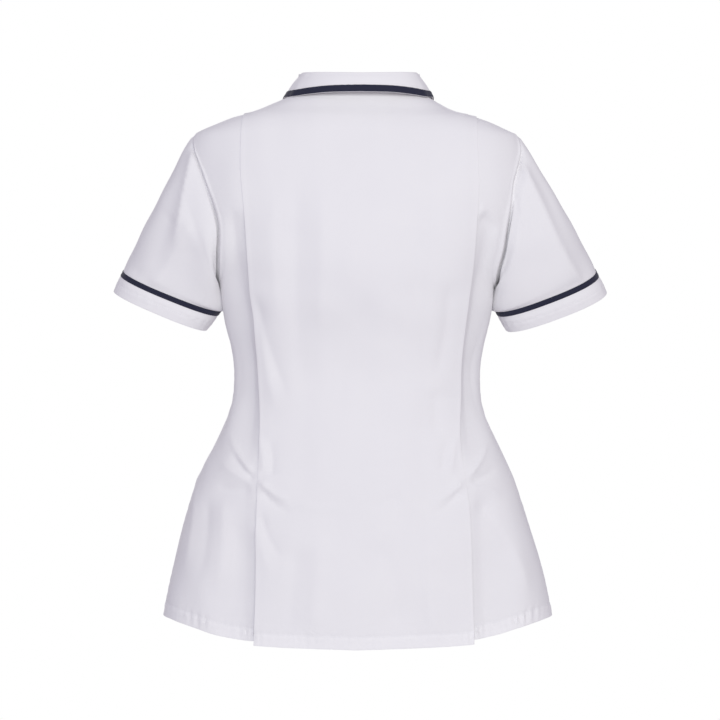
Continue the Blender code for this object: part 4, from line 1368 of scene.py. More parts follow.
@dataclass
class Back:
    """The back: one piece with a knife pleat on each side, from shoulder to hem."""

    shop: Workshop
    pleat_depth: float = 25.0
    pleat_settle: float = 40.0
    edge_share: float = 0.55
    hollow_near: float = 18.0
    hollow_end: float = 26.0
    hem_step: float = 5.0
    hem_step_width: float = 120.0
    centre_steps: int = 58
    centre_crowding: float = 0.94
    turn_steps: int = 8
    under_steps: int = 4
    side_steps: int = 50
    side_crowding: float = 1.15
    pressed_rise: float = 0.5
    pressed_place: float = 1.6
    pressed_width: float = 2.2
    # Width of the painted highlight along each pleat's fold edge.
    edge_highlight_width: float = 1.4
    fold_share: float = 2.0
    pleats: Table = Table(
        "drop left_edge right_edge dip hollow",
        """27 141 151.5 0 40, 103 143.3 150.6 0 40, 150 140 149.3 0 40, 166 138.8 148.1 4 40,
        204 136.3 145.6 7.5 44, 265 132 138.5 10 60, 302 127.4 134.4 11 70, 339 124.3 130.7 11 72,
        388 121.8 129.8 9.5 72, 438 119.1 129.5 6 66, 485 120.5 134.8 0 60, 535 122.8 140.6 5 66,
        584 124.5 141.4 7 76, 633 125.5 141.9 8 80, 694 127.5 142.9 8 80, 740 128.8 143.6 8 80""",
    )
    folds: Table = Table(
        FOLD_COLUMNS,
        """124 483 162 426 -4 4 0.8 2.4 0.6, 124 489 156 452 -3 4.5 1.2 -2.2 -0.8,
        127 491 172 462 -4 5.5 1.6 1.7 0.5, 128 496 178 492 -6 7 2.5 -1.6 -0.6,
        114 480 121 428 3 4 1 1.7 0.5, 105 486 110 430 4 5 1.4 -1.7 -0.5,
        120 486 76 514 5 4 0.8 2.6 0.7, 117 496 72 528 6 6 1.8 -2.3 -0.5,
        76 514 6 516 7 6 2.5 0.8 0.3, 117 524 88 586 6 5 1.4 -1.8 -0.7,
        120 540 100 606 6 9 3 1.5 0.6, -134 486 -92 515 -5 4 0.8 2.4 0.6,
        -130 496 -86 532 -6 6 1.8 -2.1 -0.5, -118 482 -130 424 -3 4.5 1.2 1.6 0.5,
        -108 480 -116 436 -3 5 1.6 -1.5 -0.5, -99 372 -103 440 3 13 5 -1.7 -1.9,
        -138 486 -166 440 4 4 0.8 2.4 0.6, -140 492 -178 470 4 5.5 1.6 -2 -0.6,
        -140 497 -186 514 -4 6 2 1.5 0.6, -147 512 -196 596 -7 9 3 -1.8 -1.2,
        -158 520 -214 640 -8 11 4 2 1.2, -149 152 -180 170 -3 4 1 1.7 0.3,
        -151 160 -178 184 -3 6 2 -1.4 -0.3, 196 440 218 610 -5 8 3 1 1.2,
        186 505 200 620 -5 11 4 -2 -1.4, 166 505 178 640 -5 11 4 1.6 1.2,
        150 520 156 670 -3 12 5 -1.2 -1, 72 84 70 390 6 15 7 -2 -2.2, 44 110 50 330 -4 13 6 1.2 1.3,
        102 120 96 300 4 12 5 1 1.2, 126 250 82 394 6 9 3 -1.6 -2, 118 280 96 410 5 8 3 1.2 1,
        -62 120 -72 300 -5 15 7 -1.4 -1.6, -112 235 -94 372 -7 11 4 -1.5 -1.7,
        -20 250 24 420 10 20 9 -1.2 -1.4, 38 548 52 690 6 15 7 1.6 1.7,
        70 560 82 690 4 13 6 -1.4 -1.5, -28 552 -46 690 -5 16 7 -1.5 -1.7,
        -60 512 -18 528 8 7 3 -0.9 -0.5, -84 556 -98 690 4 12 5 1.5 1.5""",
    )

    def fold_places(self, rows: Rows, edges: str) -> tuple[Array, Array, Array]:
        """Where a pleat's fold edge lies on each row.

        Args:
            rows: the rows of half the back.
            edges: the table's column for the fold edge.

        Returns:
            Its distance from the centre, how deep the cloth beside it sinks, and how wide that hollow is.
        """
        heights = rows.points[..., 2]
        fold = rows.where(rows.points[..., 0] - self.pleats.read(edges, -heights))
        drop = np.array([-np.interp(f, known, z) for f, known, z in zip(fold, rows.along, heights)])
        return fold, np.clip(self.pleats.read("dip", drop), 0, None), self.pleats.read("hollow", drop)

    def section(self, rows: Rows, fold: Array, dip: Array, wide: Array) -> tuple[Array, ...]:
        """The rows of half the back, in the order of the cloth.

        The centre panel rises by two layers towards its fold edge, turns under there by half a circle,
        turns back by a wider one, and goes on as the side panel, which sinks beside the pleat and comes
        back towards the side seam.

        Args:
            rows: the rows of half the back.
            fold: the fold edge's distance from the centre on each.
            dip, wide: how deep the side panel sinks beside it, and how wide.

        Returns:
            For each point its distance along the form and out of it, its share of the hem's step, and
            whether it lies clear of other layers.
        """
        pitch, length = self.shop.pitch, rows.length[:, None]
        fold, dip, wide = fold[:, None], dip[:, None], wide[:, None]
        start, edge, edge_dip = fold - self.pleat_depth, fold - pitch / 2, self.edge_share * dip
        radius = (pitch + edge_dip) / 2
        inner = start + radius
        even = np.linspace(0, 1, self.centre_steps + 1) ** self.centre_crowding
        top = edge * self.shop.cuts[Side.LEFT].columns(rows, Face.BACK, edge, even)[0]
        pressed = self.pressed_rise * bell(edge - self.pressed_place - top, self.pressed_width)
        raised = 2 * pitch * ease(top - start, -self.pleat_settle, 0) + pressed
        turn = np.linspace(0, np.pi, self.turn_steps + 1)[1:]
        upper_turn = pitch * (1.5 + np.cos(turn) / 2) + pressed[:, -1:] * (1 + np.cos(turn)) / 2
        lower_turn = pitch - radius + radius * np.cos(turn)
        under = np.linspace(0, 1, self.under_steps + 1)[1:]
        side = fold + (length - fold) * np.linspace(0, 1, self.side_steps + 1) ** self.side_crowding
        past = side - fold
        sunk = edge_dip + (dip - edge_dip) * ease(past, 0, self.hollow_near)
        sunk = sunk * (1 - ease(past, self.hollow_near, wide)) * ease(length - side, 0, self.hollow_end)
        parts = (
            (top, raised, 0, 1 - ease(top - start, -8, -2)),
            (edge + pitch / 2 * np.sin(turn), upper_turn, 0, 0),
            (edge + (inner - edge) * under, pitch, under / 2, 0),
            (inner - radius * np.sin(turn), lower_turn, (1 + turn / np.pi) / 2, 0),
            (inner + (fold - inner) * under[:-1], -edge_dip, 1, 0),
            (side, -sunk, 1 - ease(past, 0, self.hem_step_width), ease(past, 1, 7)),
        )
        whole = [[np.broadcast_to(value, part[0].shape) for value in part] for part in parts]
        return tuple(np.concatenate(pieces, axis=1) for pieces in zip(*whole))

    def half(self, edges: str, side: Side) -> Sheet:
        """Half the back, from its centre to its side seam, as if it were the left one.

        Args:
            edges: the pleats' column for its fold edge.
            side: whose armhole and creases it has.

        Returns:
            Its surface.
        """
        cut, form = self.shop.cuts[side], self.shop.form
        edging = Edging(cut)
        rows = cut.rows(Face.BACK)
        along, out, step, free = self.section(rows, *self.fold_places(rows, edges))
        base = rows.at(along)
        down, to_side = down_lengths(base), rows.length[:, None] - along
        place = base * (side.value, 1, 1)
        relief = self.fold_share * creases(form, Face.BACK, self.folds, place) + swells(place)
        sewn, doubled = edging.relief(base, down, to_side, place[..., 0])
        out = out + relief * edging.free(down, to_side) + sewn
        points = base + form.normal(base) * out[..., None]
        height = base[..., 2] - base[cut.underarm_row, :, 2]
        points[..., 2] += self.hem_step * np.clip(height / height[-1], 0, 1) ** 2 * step
        # Painted highlight: the doubled mask pales a thin line along each pleat's fold edge.
        light = np.s_[:, : self.centre_steps + 1 + self.turn_steps]
        pressed = np.zeros_like(along)
        pressed[light] = bell(along[:, self.centre_steps, None] - along[light], self.edge_highlight_width)
        masks = {
            "pucker": edging.pucker_mask(down, to_side),
            "doubled": np.maximum(doubled, pressed),
            "thick": self.shop.cloth + self.shop.hem_extra * doubled * free,
        }
        sheet = Sheet(points, wall_directions(points), masks=masks)
        self.shop.seams[side].set_panel(sheet, Face.BACK, np.arange(cut.neck_steps_back + 1))
        return sheet

    def sheet(self) -> Sheet:
        """Joins two halves that share the centre column.

        Returns:
            The whole back.
        """
        right = self.half("right_edge", Side.RIGHT).flipped()
        left = self.half("left_edge", Side.LEFT)
        through = joined(right.through, left.through)
        centre = right.points.shape[1] - 1
        through[:, centre] = unit(through[:, centre] * (0, 1, 1))
        masks = {name: joined(right.masks[name], mask) for name, mask in left.masks.items()}
        return Sheet(joined(right.points, left.points), through, masks=masks, round=("bottom",))

    def build(self) -> None:
        """The back and the stitching of its hem, on the three runs of columns that nothing covers."""
        shop, sheet = self.shop, self.sheet()
        piece = shop.dress(sheet, "back_cloth", "back")
        threads = Threads()
        row = Edging(shop.cuts[Side.LEFT]).hem_row(sheet)
        layers = 2 * self.turn_steps + 2 * self.under_steps - 1
        middle = self.centre_steps + layers + self.side_steps + 1
        low, high = middle - self.centre_steps, middle + self.centre_steps + 1
        surface, ways = sheet.outer()
        for columns in (slice(0, low - layers), slice(low, high), slice(high + layers, None)):
            threads.sew(surface[row, columns], ways[row, columns])
        thread = threads.make(shop, "back_hem_stitches")
        shop.declare(piece, sheet, ["front_left", "front_right"], [thread])


@dataclass
class Front:
    """One of the two fronts, which lap over each other at the centre, the wearer's right on top."""

    shop: Workshop
    side: Side
    lap: float = 15.0
    lap_settle: float = 30.0
    lap_lift: float = 0.75
    lap_steps: int = 6
    steps: int = 96
    fold_share: float = 1.7
    band: float = 28.0
    seam_depth: float = 0.3
    seam_width: float = 1.6
    folds: Table = Table(
        FOLD_COLUMNS,
        """182 232 92 210 8 6 1.6 2.2 0.6, 176 250 84 236 6 8 3 -2 -0.6, 172 276 108 262 5 6 2 1.5 0.4,
        158 330 84 318 5 5.5 1.6 1.8 0.5, 156 350 70 348 -4 6.5 2.2 -1.8 -0.5,
        157 378 92 392 -6 6 2 1.6 0.4, 160 398 110 424 -5 6 2 -1.4 -0.4,
        36 318 88 300 5 6 2 1.1 0.4, 34 405 84 424 5 6.5 2 -1.1 -0.4, 104 410 132 560 -8 12 5 1.8 2,
        150 430 190 640 -10 14 6 -2 -2.4, 70 440 78 690 6 15 7 -1.6 -2,
        182 450 228 640 -8 11 5 1.7 2, 118 120 138 205 6 12 5 -1.4 -1.9, 62 95 78 190 -5 13 6 1 1.4,
        48 520 44 690 -4 13 6 1.2 1.6, 186 120 168 204 6 9 3 1.6 0.8,
        150 580 158 690 -4 10 4 1.2 1.4""",
    )
    band_folds: Table = Table(
        FOLD_COLUMNS,
        """2 118 34 130 3 5 1.8 -0.9 -0.2, 3 216 44 204 -3 5.5 1.8 -1 -0.3,
        2 262 30 268 2 4 1.2 0.7 0.2, 2 308 40 324 4 5 1.8 -1 -0.3, 3 400 46 390 -3 5.5 1.8 -1 -0.3,
        2 447 32 455 2 4 1.2 0.7 0.2, 2 497 36 510 3 5 1.8 -0.8 -0.2""",
    )

    def sheet(self) -> Sheet:
        """Works out the front, its lap and its button band.

        Returns:
            Its surface.
        """
        shop, cut = self.shop, self.shop.cuts[self.side]
        edging = Edging(cut)
        rows = cut.rows(Face.FRONT)
        along, neck_kept = self.places(rows)
        base = rows.at(along)
        down, to_side = down_lengths(base), rows.length[:, None] - along
        place = base * (self.side.value, 1, 1)
        lift = -self.side.value * self.lap_lift
        out = lift * (1 - ease(along, self.lap + 1, self.lap + self.lap_settle))
        relief = creases(shop.form, Face.FRONT, self.folds, base) * ease(along, self.lap, 45)
        relief = relief + creases(shop.form, Face.FRONT, self.band_folds, base)
        relief = (self.fold_share * relief + swells(place)) * edging.free(down, to_side)
        sewn, doubled = edging.relief(base, down, to_side, place[..., 0] * 0.8)
        out = out + relief + sewn
        past_band = along + self.lap - self.band
        on_band = 1 - ease(past_band, -0.4, 1.0)
        if self.side is Side.RIGHT:
            out = out - self.seam_depth * bell(past_band, self.seam_width) * (1 - neck_kept)
        ways = shop.form.normal(base)
        mitre, lap = shop.seams[self.side].neck(Face.FRONT), self.lap_steps
        ways[0, :lap] = mitre[lap:0:-1] * (-1, 1, 1)
        ways[0, lap : lap + len(mitre)] = mitre
        points = base + ways * out[..., None]
        masks = {
            "pucker": edging.pucker_mask(down, to_side),
            "doubled": np.maximum(doubled, on_band),
            "thick": shop.cloth + shop.hem_extra * (doubled + on_band - doubled * on_band),
        }
        sheet = Sheet(points, -wall_directions(points), masks=masks, round=("bottom", "start"))
        shop.seams[self.side].set_panel(sheet, Face.FRONT, np.arange(cut.neck_steps_front + 1) + lap)
        sheet.through[0, :lap] = ways[0, :lap]
        return sheet if self.side is Side.LEFT else sheet.flipped()

    def places(self, rows: Rows) -> tuple[Array, Array]:
        """How far from the centre each column lies.

        Args:
            rows: the rows of half the front.

        Returns:
            Distances, less than nothing in the lap, and how fully a row keeps the neck's spacing.
        """
        even, length = np.linspace(0, 1, self.steps + 1), rows.length[:, None]
        shares, kept = self.shop.cuts[self.side].columns(rows, Face.FRONT, length, even)
        along = length * shares
        lapped = -self.lap * np.arange(self.lap_steps, 0, -1) / self.lap_steps
        lapped = lapped + (-along[0, self.lap_steps : 0 : -1] - lapped) * kept
        return np.concatenate([lapped, along], axis=1), kept

    def build(self) -> Sheet:
        """Makes the front, with the stitching of its hem and its button band.

        Returns:
            Its surface.
        """
        shop, sheet, word = self.shop, self.sheet(), self.side.word
        piece = shop.dress(sheet, f"front_{word}_cloth", f"front_{word}")
        threads = Threads()
        row = Edging(shop.cuts[self.side]).hem_row(sheet)
        surface, ways = sheet.outer()
        threads.sew(surface[row], ways[row])
        if self.side is Side.RIGHT:
            self.sew_band(sheet, row, threads)
        thread = threads.make(shop, f"front_{word}_stitches")
        other = "front_left" if self.side is Side.RIGHT else "front_right"
        shop.declare(piece, sheet, ["back", other], [thread])
        return sheet

    def sew_band(self, sheet: Sheet, last: int, threads: Threads) -> None:
        """Sews down the turned edge of the button band.

        Args:
            sheet: the front's surface.
            last: the row of the hem's stitches.
            threads: what they are added to.
        """
        from_edge = row_lengths(sheet.points[:, ::-1])
        path, ways = (
            np.stack([read_path(self.band, from_edge[n], grid[n, ::-1]) for n in range(6, last + 1)])
            for grid in sheet.outer()
        )
        threads.sew(path, ways)


class Ring(Enum):
    """The two rings at a sleeve's end, as rows of their table."""

    TRIM_TOP = 0
    BAND_BOTTOM = 1


@dataclass
class Sleeve:
    """A short set-in sleeve with its flat trim and its white band, worked out as the left one."""

    shop: Workshop
    side: Side
    ends: Table
    folds: Table
    crests: Table
    groove: Table
    trim_width: float = 7.0
    band_width: float = 25.0
    trim_thick: float = 0.7
    trim_gap: float = 0.08
    seam_turn: float = 1.2
    square: float = 2.45
    rows: int = 60
    seam_rows: tuple[float, ...] = (0.6, 1.4, 2.6, 3.8, 4.5, 5.0, 5.8, 7.0)
    slot_start: float = 0.9
    slot_end: Pair = (4.2, 5.2)
    crowding: float = 1.15
    trim_rows: int = 6
    band_rows: int = 14
    big_folds: Table = Table(
        "way_start way_end way_width down_start down_end out",
        """0.14 0.27 0.075 0.05 0.95 0.8, 0.3 0.52 0.1 0.02 0.75 -0.8, 0.66 0.72 0.17 0.1 1.3 4,
        1 1 0.18 0.1 1.35 6, -0.16 -0.26 0.08 0.05 0.9 4, -0.33 -0.5 0.1 0.02 0.7 -4""",
    )

    @property
    def signed_way(self) -> Array:
        """The columns round the sleeve: 0 on top, 1 under the arm, less than nothing in front."""
        way, behind = self.shop.seams[self.side].arm_ways()
        return way * np.where(behind, 1, -1)

    @cached_property
    def parts(self) -> Array:
        """The rows' places, the first ones equally far from the armhole all round.

        Returns:
            From the armhole, 0, to the trim, 1, for each row and column.
        """
        start = self.shop.seams[self.side].arm_points()
        reach = np.linalg.norm(self.end(Ring.TRIM_TOP) - start, axis=1)
        first = np.array([0.0, *self.seam_rows])[:, None] / reach
        rest = np.linspace(0, 1, self.rows - len(self.seam_rows) + 1)[1:, None] ** self.crowding
        return np.concatenate([first, first[-1] + (1 - first[-1]) * rest])

    def end(self, which: Ring) -> Array:
        """The points round one of the two rings at the sleeve's end.

        Each is a stretched rounded square, whose long axis rises outwards and whose deep one falls
        towards the back.

        Args:
            which: the trim's upper edge or the band's lower one.

        Returns:
            A point for each column.
        """
        turn = np.pi * self.signed_way
        across, away = np.cos(turn), np.sin(turn)
        reach = rounded(across, away, self.square)
        size = {name: column[which.value] for name, column in self.ends.columns.items()}
        centre = np.array([size["centre_x"], size["centre_y"], size["centre_z"]])
        rise, fall = size["long_rise"], size["deep_fall"]
        long_axis = size["half_long"] * np.array([math.sqrt(1 - rise**2), 0.0, rise])
        deep_axis = size["half_deep"] * np.array([0.0, math.sqrt(1 - fall**2), -fall])
        return centre + np.outer(reach * across, long_axis) + np.outer(reach * away, deep_axis)

    def tube(self) -> Array:
        """The sleeve down to its trim: each column is a cubic with given ways at its two ends.

        Returns:
            A grid of points.
        """
        seams = self.shop.seams[self.side]
        top, bottom, start = self.end(Ring.TRIM_TOP), self.end(Ring.BAND_BOTTOM), seams.arm_points()
        end_way = unit(bottom - top) * np.linalg.norm(top - start, axis=1, keepdims=True)
        return cubic(self.parts[..., None], start, seams.sleeve_start(), top, end_way)

    def relief(self, tube: Array) -> Array:
        """How far the sleeve's folds and creases raise it.

        A large fold is a bell curve whose middle drifts round the sleeve, and a crease falls off from
        its line. Beside the armhole the cloth sinks by (1 - exp(-d / s)) exp(-d / w) at a distance d, and
        under the arm there is a narrow slot with steep walls.

        Args:
            tube: the sleeve's points.

        Returns:
            How far each is raised.
        """
        signed, down = self.signed_way[None, :], self.parts
        rise = np.zeros(tube.shape[:2])
        for fold in self.big_folds:
            centre = fold["way_start"] + (fold["way_end"] - fold["way_start"]) * down
            length = ease(down, fold["down_start"], fold["down_start"] + 0.2)
            length = length * (1 - ease(down, fold["down_end"] - 0.5, fold["down_end"]))
            rise += fold["out"] * length * bell((signed - centre + 1) % 2 - 1, fold["way_width"])
        for fold in self.folds:
            height, outside = self.beside(fold, tube)
            rise += height * crease_height(outside, fold["keen"], fold["width"])
        rise = (rise + swells(tube)) * self.inner_part
        from_arm = down_lengths(tube)
        depth, wide, slot = (self.groove.read(name, signed) for name in ("depth", "width", "slot"))
        rise -= depth * (1 - np.exp(-from_arm / self.seam_turn)) * np.exp(-from_arm / wide)
        slot = slot * (1 - bell(from_arm, self.slot_start))
        return rise - slot * (1 - ease(from_arm, *self.slot_end))

    @property
    def inner_part(self) -> Array:
        """Where folds may show: 1 away from the armhole and the trim."""
        return ease(self.parts, 0, 0.05) * (1 - ease(self.parts, 0.93, 1))

    def lift(self, tube: Array) -> Array:
        """How far the crests of the large folds stand out behind, or in front.

        A crest is a keen edge, from which the cloth falls off as exp(-d / w), faster on the outline's
        side than on the underarm's.

        Args:
            tube: the sleeve's points.

        Returns:
            How far each stands out.
        """
        lift = np.zeros(tube.shape[:2])
        for crest in self.crests:
            height, outside = self.beside(crest, tube)
            wide = np.where(outside > 0, crest["outer"], crest["inner"])
            lift += height * np.exp(-np.abs(outside) / wide)
        return lift * self.inner_part * np.clip(self.signed_way / 0.1, -1, 1)

    def beside(self, fold: dict[str, float], tube: Array) -> tuple[Array, Array]:
        """Places each point beside a fold's bowed line.

        Args:
            fold: its row of the table.
            tube: the sleeve's points.

        Returns:
            The fold's height there, tapered at both ends, and the distance from its line, less than
            nothing on the underarm's side.
        """
        around = float(row_lengths(tube)[:, -1].mean()) / 2
        reach = float(down_lengths(tube)[-1].mean())
        start = np.array([fold["way_start"] * around, fold["down_start"] * reach])
        span = np.array([fold["way_end"] * around, fold["down_end"] * reach]) - start
        across, down = self.signed_way[None, :] * around - start[0], self.parts * reach - start[1]
        part = np.clip((across * span[0] + down * span[1]) / (span @ span), 0, 1)
        over = across - span[0] * part - fold["bow"] * 4 * part * (1 - part)
        below = down - span[1] * part
        side = np.where(span[0] * below - span[1] * over > 0, 1, -1)
        height = fold["rise_start"] + (fold["rise_end"] - fold["rise_start"]) * part
        taper = ease(part, -0.02, 0.12) * (1 - ease(part, 0.65, 1))
        return height * taper, side * np.hypot(over, below)

    def surface(self) -> Sheet:
        """Works out the sleeve, its trim and its band, from the armhole to the lower edge.

        Returns:
            The surface.
        """
        plain = self.tube()
        tube = plain - wall_directions(plain, closed=True) * self.relief(plain)[..., None]
        tube[..., 1] += self.lift(plain)
        top, bottom = self.end(Ring.TRIM_TOP), self.end(Ring.BAND_BOTTOM)
        trim_share = self.trim_width / (self.trim_width + self.band_width)
        trim = trim_share * np.arange(1, self.trim_rows + 1) / self.trim_rows
        band = trim_share + (1 - trim_share) * np.arange(1, self.band_rows + 1) / self.band_rows
        shares = np.concatenate([trim, band])[:, None, None]
        grid = np.concatenate([tube, top + (bottom - top) * shares])
        sewn, drawn, in_band = self.sewn_relief(grid)
        grid = grid - wall_directions(grid, closed=True) * sewn[..., None]
        through = -wall_directions(grid, closed=True)
        through[0] = self.shop.seams[self.side].arm()
        masks = {
            "pucker": np.clip(drawn + bell(down_lengths(grid), 9.0), 0, 1),
            "doubled": in_band,
            "thick": self.shop.cloth + self.shop.hem_extra * in_band,
        }
        return Sheet(grid, through, closed=True, masks=masks)

    def sewn_relief(self, grid: Array) -> tuple[Array, Array, Array]:
        """The relief at the sleeve's end.

        The band swells between its edges, with a sunken row of stitches and puckers along its middle,
        and the cloth above the trim turns up in a low ridge against it.

        Args:
            grid: the points of the whole sleeve.

        Returns:
            How far each is raised, how much the stitches draw it up, and whether it lies in the band.
        """
        around = row_lengths(grid)
        from_edge = down_lengths(grid)[-1] - down_lengths(grid)
        from_line = from_edge - self.band_width / 2
        above_trim = from_edge - self.band_width - self.trim_width
        drawn = bell(from_line, 5.5)
        waves = 0.6 * puckers(around, 10.5) * drawn - 0.5 * bell(from_line, 1.7)
        crown = 0.5 * np.sin(np.pi * np.clip(from_edge / self.band_width, 0, 1))
        ridge = 0.35 * bell(above_trim - 1.4, 1.3)
        gathered = 0.3 * puckers(around + 40.0, 13.0) * bell(above_trim - 6, 5.0)
        in_band = 1 - ease(from_edge, self.band_width - 0.5, self.band_width + 1.0)
        return waves + crown + ridge + gathered, drawn, in_band

    def build(self) -> None:
        """The sleeve, its band, the trim over the seam between them, and their stitching."""
        shop, word = self.shop, self.side.word
        sheet = self.surface()
        if self.side is Side.RIGHT:
            sheet = sheet.flipped()
        seam = self.rows + self.trim_rows
        tube, band = sheet.part(slice(0, seam + 1)), sheet.part(slice(seam, None), ("bottom",))
        lift = shop.cloth / 2 + self.trim_gap + self.trim_thick / 2
        trim = sheet.part(slice(self.rows, seam + 1), ("top", "bottom")).moved(lift, self.trim_thick)
        sleeve = shop.dress(tube, f"sleeve_{word}_cloth", f"sleeve_{word}")
        cuff = shop.dress(band, f"cuff_{word}_cloth", f"cuff_{word}")
        braid = shop.dress(trim, f"cuff_{word}_braid", f"cuff_trim_{word}", Look.BRAID)
        threads = Threads()
        path, ways = band.outer()
        threads.sew(path[self.band_rows // 2], ways[self.band_rows // 2])
        thread = threads.make(shop, f"cuff_{word}_stitches")
        dark = Threads.along_trim(shop, trim, f"cuff_{word}_braid_stitches")
        shop.declare(sleeve, tube, ["back", f"front_{word}"])
        shop.declare(cuff, band, [f"sleeve_{word}"], [braid, thread, dark])


@dataclass
class Collar:
    """The turned collar, stand and fall in one piece, and the trim along its edge."""

    shop: Workshop
    thick: float = 1.2
    trim_width: float = 7.0
    trim_thick: float = 0.7
    trim_gap: float = 0.08
    turn: float = 1.8
    lean: float = 5.7
    clear: float = 1.9
    end: float = 1.2
    bulge: float = 2.0
    bulge_place: float = 0.45
    stand_rows: int = 8
    turn_rows: int = 8
    fall_rows: int = 14
    trim_rows: int = 6
    lean_shares: tuple[float, ...] = (0.0, 1.0, 1.0, 0.6)
    edge: Table = Table(
        "way reach_x reach_y drop",
        """0 0 61 4.5, 0.25 34 57.5 4.8, 0.5 64 44 6, 0.75 83.4 25 7.2, 1 94.2 0 5.5, 1.25 96.4 -30 24,
        1.5 88 -48 52, 1.75 67 -66 80, 2 43 -84 100""",
    )

    def ways(self) -> Array:
        """The columns along half the collar.

        Returns:
            0 at the centre back, 1 at the side of the neck, 2 at the centre front.
        """
        cut = self.shop.cuts[Side.LEFT]
        front = np.linspace(1, 2, cut.neck_steps_front + 1)
        return np.concatenate([np.linspace(0, 1, cut.neck_steps_back + 1), front[1:]])

    def clear_of_form(self, points: Array) -> Array:
        """Moves points out where they lie too near the front or the back of the form.

        Args:
            points: points of the collar.

        Returns:
            The points.
        """
        form = self.shop.form
        x, y, height = points[..., 0], points[..., 1], np.minimum(points[..., 2], 0)
        behind = y >= 0
        least = form.depth(x, height, behind)
        on_form = np.stack([x, np.where(behind, 1, -1) * np.maximum(least, 1), height], -1)
        least = least + self.clear / np.maximum(np.abs(form.normal(on_form)[..., 1]), 0.35)
        moved = np.where(behind, np.maximum(y, least), np.minimum(y, -least))
        return np.stack([x, np.where(least > self.clear * 3, moved, y), points[..., 2]], -1)

    def half(self) -> Array:
        """The collar on the wearer's left, from the centre back to the centre front.

        The rows go up the stand, over a half circle at the fold line and down the fall, a parabola
        through a point that stands off the straight way to the edge.

        Returns:
            A grid of points.
        """
        way = self.ways()
        base, outward, step = self.shop.seams[Side.LEFT].stand_step(way)
        up = np.array([0.0, 0.0, 1.0])
        stand = base + step * np.linspace(0, 1, self.stand_rows + 1)[:, None, None]
        angle = np.linspace(np.pi, 0, self.turn_rows + 1)[:, None, None]
        roll = base + step + self.turn * (outward * np.cos(angle) + up * np.sin(angle))
        reach_x, reach_y, drop = (self.edge.read(name, way) for name in self.edge.names[1:])
        edge = self.clear_of_form(np.stack([reach_x, reach_y, -drop], -1))
        start = roll[-1]
        bulge = start + (edge - start) * self.bulge_place + (outward + up) * self.bulge
        trim_start = 1 - self.trim_width / np.linalg.norm(edge - start, axis=1, keepdims=True)
        fall = np.arange(1, self.fall_rows + 1)[:, None, None] / self.fall_rows * trim_start
        trim = np.arange(1, self.trim_rows + 1)[:, None, None] / self.trim_rows
        part = np.concatenate([fall, trim_start + (1 - trim_start) * trim])
        fallen = start * (1 - part) ** 2 + 2 * bulge * part * (1 - part) + edge * part**2
        return np.concatenate([stand[:-1], roll, self.clear_of_form(fallen)])

    def sheet(self) -> Sheet:
        """Works out the whole collar, whose fold line leans towards the wearer's right behind.

        Returns:
            Its surface.
        """
        left = self.half()
        left[:, -1, 0] = np.maximum(left[:, -1, 0], self.end)
        grid = joined(mirrored(left), left)
        ways = self.ways()
        ways = np.concatenate([ways[:0:-1], ways])
        last, fold = len(grid) - 1, self.stand_rows + self.turn_rows
        places = (0, self.stand_rows, fold, last)
        leaning = np.interp(np.arange(last + 1), places, self.lean_shares)
        grid[:, :, 0] -= self.lean * np.outer(leaning, 1 - ease(ways, 0, 1.5))
        seams = self.shop.seams[Side.LEFT]
        mitre = np.concatenate([seams.neck(Face.BACK), seams.neck(Face.FRONT)[::-1][1:]])[None]
        mitre = joined(mirrored(mitre), mitre)[0]
        grid = grid - self.through(grid, mitre) * self.relief(grid, fold)[..., None]
        through = self.through(grid, mitre)
        through[0] = mitre
        whole = np.ones(grid.shape[:2])
        masks = {
            "pucker": whole * ease(np.arange(last + 1), last - 8, last)[:, None],
            "doubled": 0.5 * whole,
            "thick": self.thick * whole,
        }
        return Sheet(grid, through, masks=masks, round=("bottom", "start", "end"))

    @staticmethod
    def through(grid: Array, mitre: Array) -> Array:
        """The ways through the wall, on the same side of it as those along the neck seam."""
        through = wall_directions(grid)
        return through * np.sign((through[0] * mitre).sum())

    def relief(self, grid: Array, fold: int) -> Array:
        """How far the fall rises in soft swells, with a shallow seam and low puckers at its trim.

        Args:
            grid: the collar's points.
            fold: the row of its fold line.

        Returns:
            How far each is raised.
        """
        along, down = row_lengths(grid), down_lengths(grid)
        fallen = ease(np.arange(len(grid)), fold, fold + self.fall_rows)[:, None]
        line = down[len(grid) - 1 - self.trim_rows] - down
        swell = 0.45 * puckers(along, 71.0, 0.4)
        drawn = 0.3 * puckers(along + 17.0, 9.0) * bell(line - 4.0, 5.5)
        return (swell + drawn) * fallen - 0.2 * bell(line - 1.2, 1.3)

    def build(self) -> None:
        """The collar, its trim, and the stitching along the trim's edges."""
        shop, sheet = self.shop, self.sheet()
        piece = shop.dress(sheet, "collar_cloth", "collar")
        lift = self.thick / 2 + self.trim_gap + self.trim_thick / 2
        trim = sheet.part(slice(-1 - self.trim_rows, None), ("top", "bottom", "start", "end"))
        trim.through = -trim.through
        trim = trim.moved(lift, self.trim_thick)
        braid = shop.dress(trim, "collar_braid", "collar_trim", Look.BRAID)
        dark = Threads.along_trim(shop, trim, "collar_braid_stitches")
        rests_on = ["back", "front_left", "front_right"]
        shop.declare(piece, sheet, rests_on, [braid, dark], held="folded")


